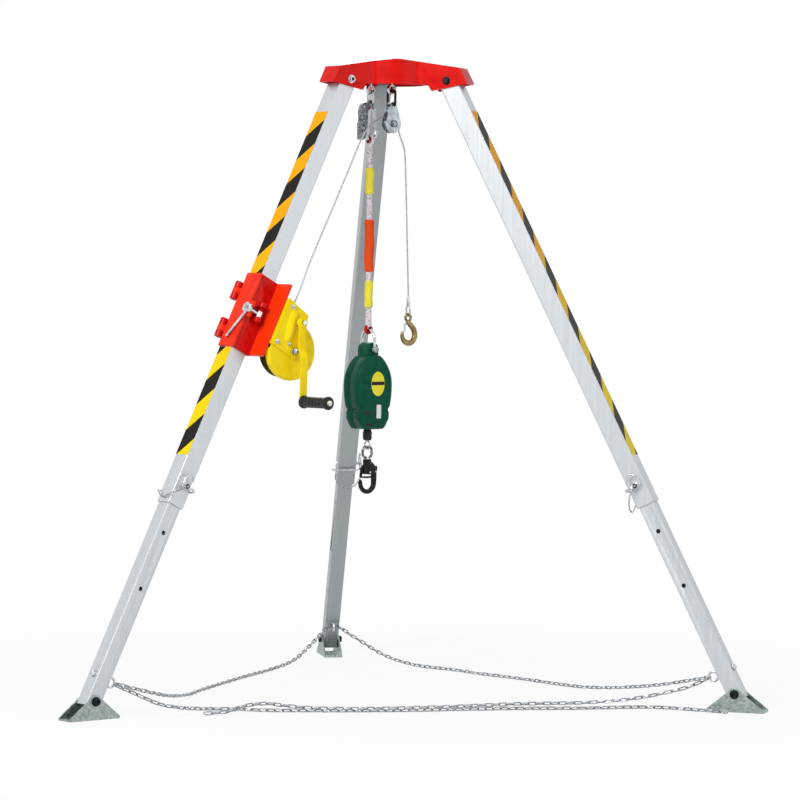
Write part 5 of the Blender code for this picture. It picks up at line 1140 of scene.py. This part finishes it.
def make_line_end():
    """The stopper under the block, its wire loop, the swivel, and the double-action hook."""
    x, y = SLING_X, SLING_Y
    stopper = rounded([(0, 0.7980), (0.0120, 0.7980), (0.0145, 0.8060), (0.0145, 0.8240), (0.0110, 0.8337),
                       (0, 0.8337)], 0.0025, 5)
    spun("line_stopper_form", stopper, BLACK_NYLON, "line_end", HANG, "Z", (x, y, 0), 32,
         replaces=("line_stopper",), slot="black_part")
    loop_height, loop_radius, loop_wire, ring_wire = 0.7835, 0.0125, 0.0023, 0.0042
    tube("line_loop", arc_points((x, y, loop_height), loop_radius, 0, 360, 44, "YZ", False), loop_wire, WIRE,
         "line_end", HANG, 12, (1, 0, 0), True)
    spun("line_ferrule", rod(0.0045, 0.7930, 0.8000, 0.0008), BRIGHT, "line_end", HANG, "Z", (x, y, 0), 20)
    ring_top = loop_height - loop_radius + loop_wire + GAP + ring_wire
    tube("swivel_ring", link_path((x, y), 0.0180, 0.0120, ring_top, 0.7440, "XZ"), ring_wire, DARK_ZINC_AND_SHEAVE_SHADE,
         "line_end", HANG, 16, (0, 1, 0), True, replaces=("hook_swivel",), slot="bright_steel")
    post = rounded([(0, 0.7265), (0.0085, 0.7265), (0.0085, 0.7310), (0.0055, 0.7310), (0.0055, 0.7475),
                    (0, 0.7475)], 0.0008)
    spun("swivel_post", post, BRIGHT, "line_end", HANG, "Z", (x, y, 0), 24)
    thick, radius = 0.0072, 0.0270
    low = 0.6290 + thick + radius
    points = np.vstack([
        [(x + 0.006, y, 0.7290), (x + 0.022, y, 0.7150), (x + radius, y, 0.6950)],
        arc_points((x, y, low), radius, 0, -175, 9), [(x - radius - 0.0005, y, 0.6760)],
    ])
    radii = [0.0072, 0.0082, 0.0092, 0.0096, 0.0094, 0.0088, 0.0084, 0.0080, 0.0077, 0.0074, thick, thick,
             0.0055]
    hook_bar("block_hook_bar", "block_hook", points, radii, BLACK_OXIDE, "block_hook", "black_steel")
    lever = rounded([(x + 0.0180, 0.7120), (x + 0.0240, 0.7180), (x + 0.0385, 0.7165), (x + 0.0370, 0.6960),
                     (x + 0.0320, 0.6860), (x + 0.0240, 0.6880)], 0.0025, 4, closed=True)[::-1]
    plate("block_hook_lever", lever, y - 0.0058, y + 0.0058, 0.0012, BLACK_OXIDE, "block_hook", HANG)
    cheek = rounded([(x - 0.0190, 0.6985), (x - 0.0130, 0.6915), (x + 0.0235, 0.6890), (x + 0.0240, 0.7180),
                     (x + 0.0100, 0.7235), (x - 0.0100, 0.7220), (x - 0.0185, 0.7150)], 0.0035, 4, closed=True)
    strap = rounded([(x - 0.0190, 0.6790), (x + 0.0215, 0.6795), (x + 0.0215, 0.6845), (x - 0.0130, 0.6845)],
                    0.0018, 4, closed=True)
    for number, way in enumerate((-1, 1)):
        low, high = sorted((y + way * 0.0064, y + way * 0.0088))
        for part, shape in (("cheek", cheek), ("strap", strap)):
            plate(f"block_hook_{part}_{number}", shape, low, high, 0.0007, BLACK_OXIDE, "block_hook", HANG,
                  steps=3)
    pivot = rod(0.0032, -0.0100, 0.0100, 0.0010)
    for number, (dx, height) in enumerate(((0.0300, 0.6990), (0.0060, 0.6975))):
        spun(f"block_hook_rivet_{number}", pivot, BRIGHT, "block_hook", HANG, "Y", (x + dx, y, height), 18)
    boss = rounded([(0.0058, 0.7390), (0.0135, 0.7390), (0.0135, 0.7240), (0.0125, 0.7190), (0.0030, 0.7190),
                    (0.0030, 0.7262), (0.0088, 0.7262), (0.0088, 0.7313), (0.0058, 0.7313)][::-1], 0.0008,
                   closed=True)
    spun("block_hook_boss", boss, BLACK_OXIDE, "block_hook", HANG, "Z", (x, y, 0), 32, True)
    root, hinge = np.array([x - 0.004, y, 0.7240]), np.array([x - 0.0225, y, 0.7090])
    tip = np.array([x - radius + 0.0005, y, 0.6804])
    gate("block_hook", root, hinge, tip, 0.0060, 0.0045, BLACK_OXIDE, BLACK_OXIDE, "block_hook", "block_gate",
         "block_hook_gate")


# Load hook

def make_load_hook():
    """The loop and ferrule on the cable's end, and the forged hook: an eye ring and a bar that thickens round
    its bowl, with a spring latch."""
    x = HOOK_X
    eye_height, eye_radius, eye_bar = 1.1876, 0.0110, 0.0042
    loop_bottom = eye_height + eye_radius - eye_bar - GAP - CABLE
    tube("cable_loop", link_path((x, 0), 0.0085, 0.0080, 1.2240, loop_bottom), CABLE, WIRE, "load_hook", HANG,
         14, (1, 0, 0), True, replaces=("cable_eye",), slot="bright_steel")
    spun("cable_ferrule", collar(0.0028, 0.0060, 1.2225, 1.2530, 0.0012), BRIGHT, "load_hook", HANG, "Z",
         (x, 0, 0), 24, True)
    ring = arc_points((x, 0, eye_height), eye_radius, 0, 360, 44, endpoint=False)
    tube("load_hook_eye", ring, eye_bar, GOLD, "load_hook", HANG, 16, closed=True)
    bowl = np.array([x + 0.002, 0, 1.1330])
    radius = 0.0260
    points = np.vstack([
        [(x, 0, eye_height - 0.0090), (x + 0.0060, 0, 1.1680), (x + 0.0210, 0, 1.1530)],
        arc_points(bowl, radius, 20, -190, 13), [(bowl[0] - radius - 0.0010, 0, 1.1440)],
    ])
    radii = [0.0070, 0.0075, 0.0085] + [0.0090] * 5 + [0.0095] * 4 + [0.0085, 0.0075, 0.0065, 0.0058, 0.0045]
    hook_bar("load_hook_bar", "load_hook", points, radii, GOLD, "load_hook", "hook_gold", 110, 22)
    gate("load_hook", np.array([x + 0.003, 0, 1.1720]), np.array([x - 0.0130, 0, 1.1660]),
         np.array([x - 0.0150, 0, 1.1425]), 0.0040, 0.0030, GOLD, BRIGHT, "load_hook", "hook_latch", "hook_latch")


# Clamp and winch

def make_clamp():
    """The clamp's solids with their rims eased."""
    bevelled("clamp_saddle", CLAMP_ENAMEL, 0.0010, 2)
    # The door's lighter enamel is painted light.
    bevelled("clamp_door", LIT_DOOR_ENAMEL, 0.0012, 3)
    bevelled("clamp_bolt", BRIGHT, 0.0008, 2)
    bevelled("clamp_handle", BRIGHT, 0.0008, 2)


def make_winch():
    """The winch's solids with their rims eased, and its small pieces."""
    where = LEGS["left"]
    bevelled("winch_frame", YELLOW_ENAMEL, 0.0010, 3)
    bevelled("gear_cover", YELLOW_ENAMEL, 0.0016, 3)
    bevelled("pinion_shaft", BRIGHT, 0.0004, 2)
    bevelled("drum_axle", BRIGHT, 0.0010, 3)
    bevelled("crank_arm", YELLOW_ENAMEL, 0.0010, 2)
    make_drum(where)
    make_grip(where)
    make_winch_dome(where)
    bolts = ((-0.070, -0.755, 0.0062), (-0.062, -0.876, 0.0062), (-0.108, -0.862, 0.0050))
    for number, (v, z, size) in enumerate(bolts):
        bolt_cap(f"winch_bolt_{number}", (v, 0.1100, z), size, where)
    bolt_cap("winch_axle_nut", (DRUM[0], 0.1240, DRUM[2]), 0.0085, where)


def bolt_cap(name, place, size, where):
    """Hexagon nut on a washer, with the rounded end of its bolt."""
    v, u, z = place
    plate(f"{name}_hex", hexagon(v, z, size), u + 0.0010, u + 0.0050, 0.0006, BRIGHT, "outer_leg_left", where)
    washer = rod(size * 1.2, u + 0.0001, u + 0.0012, 0.0004)
    spun(f"{name}_washer", washer, BRIGHT, "outer_leg_left", where, "Y", (v, 0, z), 24)
    stud = rounded([(0, u + 0.0040), (size * 0.5, u + 0.0040), (size * 0.5, u + 0.0068), (0, u + 0.0074)],
                   0.0008)
    spun(f"{name}_stud", stud, ZINC, "outer_leg_left", where, "Y", (v, 0, z), 20)


def make_winch_dome(where):
    """Pear-shaped pressing over the brake: an outline of two circles and their tangents, drawn in towards its
    middle line as it rises on a quarter ellipse."""
    upper, lower = np.array([-0.0880, -0.7790]), np.array([-0.0960, -0.8480])
    big, small = 0.0215, 0.0150
    angle = np.linspace(0, 2 * np.pi, 56, endpoint=False)
    t = np.linspace(0, 1, 10)[:, None]
    inset = 1 - np.sin(np.pi / 2 * t) * 0.92
    height = 0.1098 + 0.0085 * np.sin(np.pi / 2 * t) ** 0.7 * (1 - 0.15 * t)
    direction = np.stack([np.cos(angle), np.sin(angle)], -1)
    axis = unit(upper - lower)
    share = 0.5 + 0.5 * np.tanh(3.2 * (direction @ axis))
    middle = lower + share[:, None] * (upper - lower)
    size = small + share * (big - small)
    flat = middle[None] + inset[..., None] * size[None, :, None] * direction[None]
    tall = np.broadcast_to(height, flat.shape[:2])
    points = np.stack([flat[..., 0], tall, flat[..., 1]], -1)
    surface("winch_brake_dome", points, YELLOW_ENAMEL, "outer_leg_left", where, sharp=60)


def make_drum(where):
    """Two flanges and a core in one turning, the gear beside them, and the wound cable's outer layer."""
    core = [(0.0063, 0.0420), (0.0800, 0.0420), (0.0800, 0.0445), (0.0540, 0.0445), (0.0540, 0.0800),
            (0.0800, 0.0800), (0.0800, 0.0825), (0.0200, 0.0825), (0.0200, 0.0900), (0.0063, 0.0900)]
    # The drum's dark olive finish is painted shade.
    spun("drum_flanges", rounded(core, 0.0007, 4, closed=True), SHADED_DRUM_ZINC, "winch_drum", where, "Y", DRUM, 56,
         True, replaces=("winch_drum",), slot="zinc_plate")
    index = np.arange(GEAR_TEETH)[:, None]
    share = np.array([-0.25, -0.16, -0.09, 0.09, 0.16, 0.25])
    size = np.array([0.0725, 0.0748, 0.0770, 0.0770, 0.0748, 0.0725])
    angle = (2 * np.pi * (index + share) / GEAR_TEETH).ravel()
    radius = np.tile(size, GEAR_TEETH)
    outline = np.stack([DRUM[0] + radius * np.cos(angle), DRUM[2] + radius * np.sin(angle)], -1)
    plate("drum_gear", outline, 0.0866, 0.0949, 0.0004, ZINC, "winch_drum", where, steps=2)
    turns = np.linspace(0, 2 * np.pi * 6.5, 6 * 40)
    layer, start, end = 0.0555, 0.0475, 0.0770
    wound = np.stack([
        DRUM[0] + layer * np.cos(turns), start + (end - start) * turns / turns[-1],
        DRUM[2] + layer * np.sin(turns),
    ], -1)
    tube("drum_winding", wound, CABLE, WIRE, "winch_drum", where, 10, (0, 1, 0), sharp=80)


def make_grip(where):
    """Moulded grip: shallow rounded ribs between two collars, with a screw in its flared end."""
    throw = 0.241
    tip_x = CRANK[0] - np.sin(CRANK_LEAN) * throw
    tip_z = CRANK[2] - np.cos(CRANK_LEAN) * throw
    start = 0.110 + 0.020 + 0.014 + 0.005
    low, high = start + GAP, start + 0.1242
    height = np.linspace(low + 0.008, high - 0.016, 90)
    rib = 0.0168 + 0.0004 * np.cos(2 * np.pi * (height - height[0]) / 0.0165)
    ends = [(0.0049, low), (0.0196, low), (0.0200, low + 0.0006), (0.0200, low + 0.0054),
            (0.0190, low + 0.0065)]
    flare = [(0.0170, high - 0.0150), (0.0203, high - 0.0085), (0.0206, high - 0.0030), (0.0196, high - 0.0006),
             (0.0180, high), (0.0049, high)]
    profile = np.vstack([ends, np.stack([rib, height], -1), flare])
    spun("crank_grip_form", profile, BLACK_NYLON, "grip", where, "Y", (tip_x, 0, tip_z), 40, True,
         replaces=("crank_grip",), slot="black_part")
    screw_top = start + 0.1280
    head = rounded([(0, screw_top + 0.0002), (0.0084, screw_top + 0.0002), (0.0084, screw_top + 0.0024),
                    (0, screw_top + 0.0032)], 0.0010)
    spun("crank_grip_screw", head, BRIGHT, "crank", where, "Y", (tip_x, 0, tip_z), 24)


def dress_line_drum():
    """The block's drum keeps its solid, with the finish of the real piece."""
    NODES["line_drum"].data.materials.clear()
    NODES["line_drum"].data.materials.append(BRIGHT)


# Stage

def seen_rays(tree):
    """One where the camera looks or a glossy surface mirrors, and nought for the light on the object."""
    rays = add(tree, "ShaderNodeLightPath")
    seen = add(tree, "ShaderNodeMath", [(0, rays.outputs["Is Camera Ray"]), (1, rays.outputs["Is Glossy Ray"])],
               operation="MAXIMUM")
    return seen.outputs[0]


def white_where_seen(name, strength):
    """A pale surface that the camera sees almost white, with part of the object's shadow left on it."""
    made = bpy.data.materials.new(name)
    made.use_nodes = True
    tree = made.node_tree
    tree.nodes.clear()
    out = add(tree, "ShaderNodeOutputMaterial")
    pale = add(tree, "ShaderNodeBsdfDiffuse", inputs=[("Color", (0.8, 0.8, 0.8, 1.0))])
    glow = add(tree, "ShaderNodeEmission", inputs=[("Color", (1, 1, 1, 1)), ("Strength", 1.0)])
    seen = seen_rays(tree)
    place = add(tree, "ShaderNodeTexCoord")
    far = add(tree, "ShaderNodeVectorMath", [(0, place.outputs["Object"])], operation="LENGTH")
    rise = add(tree, "ShaderNodeMapRange", [("Value", far.outputs["Value"])],
               [("From Min", 1.3), ("From Max", 2.8), ("To Min", strength), ("To Max", 1.0)])
    share = add(tree, "ShaderNodeMath", [(0, seen), (1, rise.outputs[0])], operation="MULTIPLY")
    mix = add(tree, "ShaderNodeMixShader", [(0, share.outputs[0]), (1, pale.outputs[0]), (2, glow.outputs[0])])
    tree.links.new(mix.outputs[0], out.inputs["Surface"])
    return made


def make_stage():
    """A pale floor and surroundings, and three area lamps."""
    floor = bpy.data.meshes.new("floor")
    floor.from_pydata([(-14, -16, 0), (14, -16, 0), (14, 18, 0), (-14, 18, 0)], [], [(0, 1, 2, 3)])
    floor.materials.append(white_where_seen("pale_floor", 0.86))
    ground = added("floor", floor)
    ground.location = (0, 0, -0.0005)
    world = bpy.data.worlds.new("studio")
    bpy.context.scene.world = world
    world.use_nodes = True
    tree = world.node_tree
    tree.nodes.clear()
    out = add(tree, "ShaderNodeOutputWorld")
    soft = add(tree, "ShaderNodeBackground", inputs=[("Color", (0.92, 0.95, 1.0, 1.0)), ("Strength", 0.42)])
    white = add(tree, "ShaderNodeBackground", inputs=[("Color", (1, 1, 1, 1)), ("Strength", 1.0)])
    mix = add(tree, "ShaderNodeMixShader", [(0, seen_rays(tree)), (1, soft.outputs[0]), (2, white.outputs[0])])
    tree.links.new(mix.outputs[0], out.inputs["Surface"])
    for name, place, aim, size, power in (
        ("key", (-3.2, -4.6, 4.4), (0, -0.2, 1.0), 2.6, 265),
        ("fill", (4.4, -4.0, 2.6), (0, -0.2, 1.0), 3.4, 45),
        ("rear", (0.6, 4.6, 4.2), (0, -0.2, 1.1), 3.0, 120),
    ):
        lamp = bpy.data.lights.new(name, "AREA")
        lamp.size = size
        lamp.energy = power
        back = unit(np.subtract(place, aim))
        side = unit(np.cross((0, 0, 1), back))
        added(name, lamp).matrix_world = Matrix(matrix(side, np.cross(back, side), back, place).tolist())
    bpy.context.scene.view_settings.view_transform = "Standard"


make_camera()
make_chain()
make_cables()
make_legs()
make_head()
make_pulley()
make_snap_hook()
make_sling()
make_block()
make_load_hook()
make_clamp()
make_winch()
dress_line_drum()
make_stage()
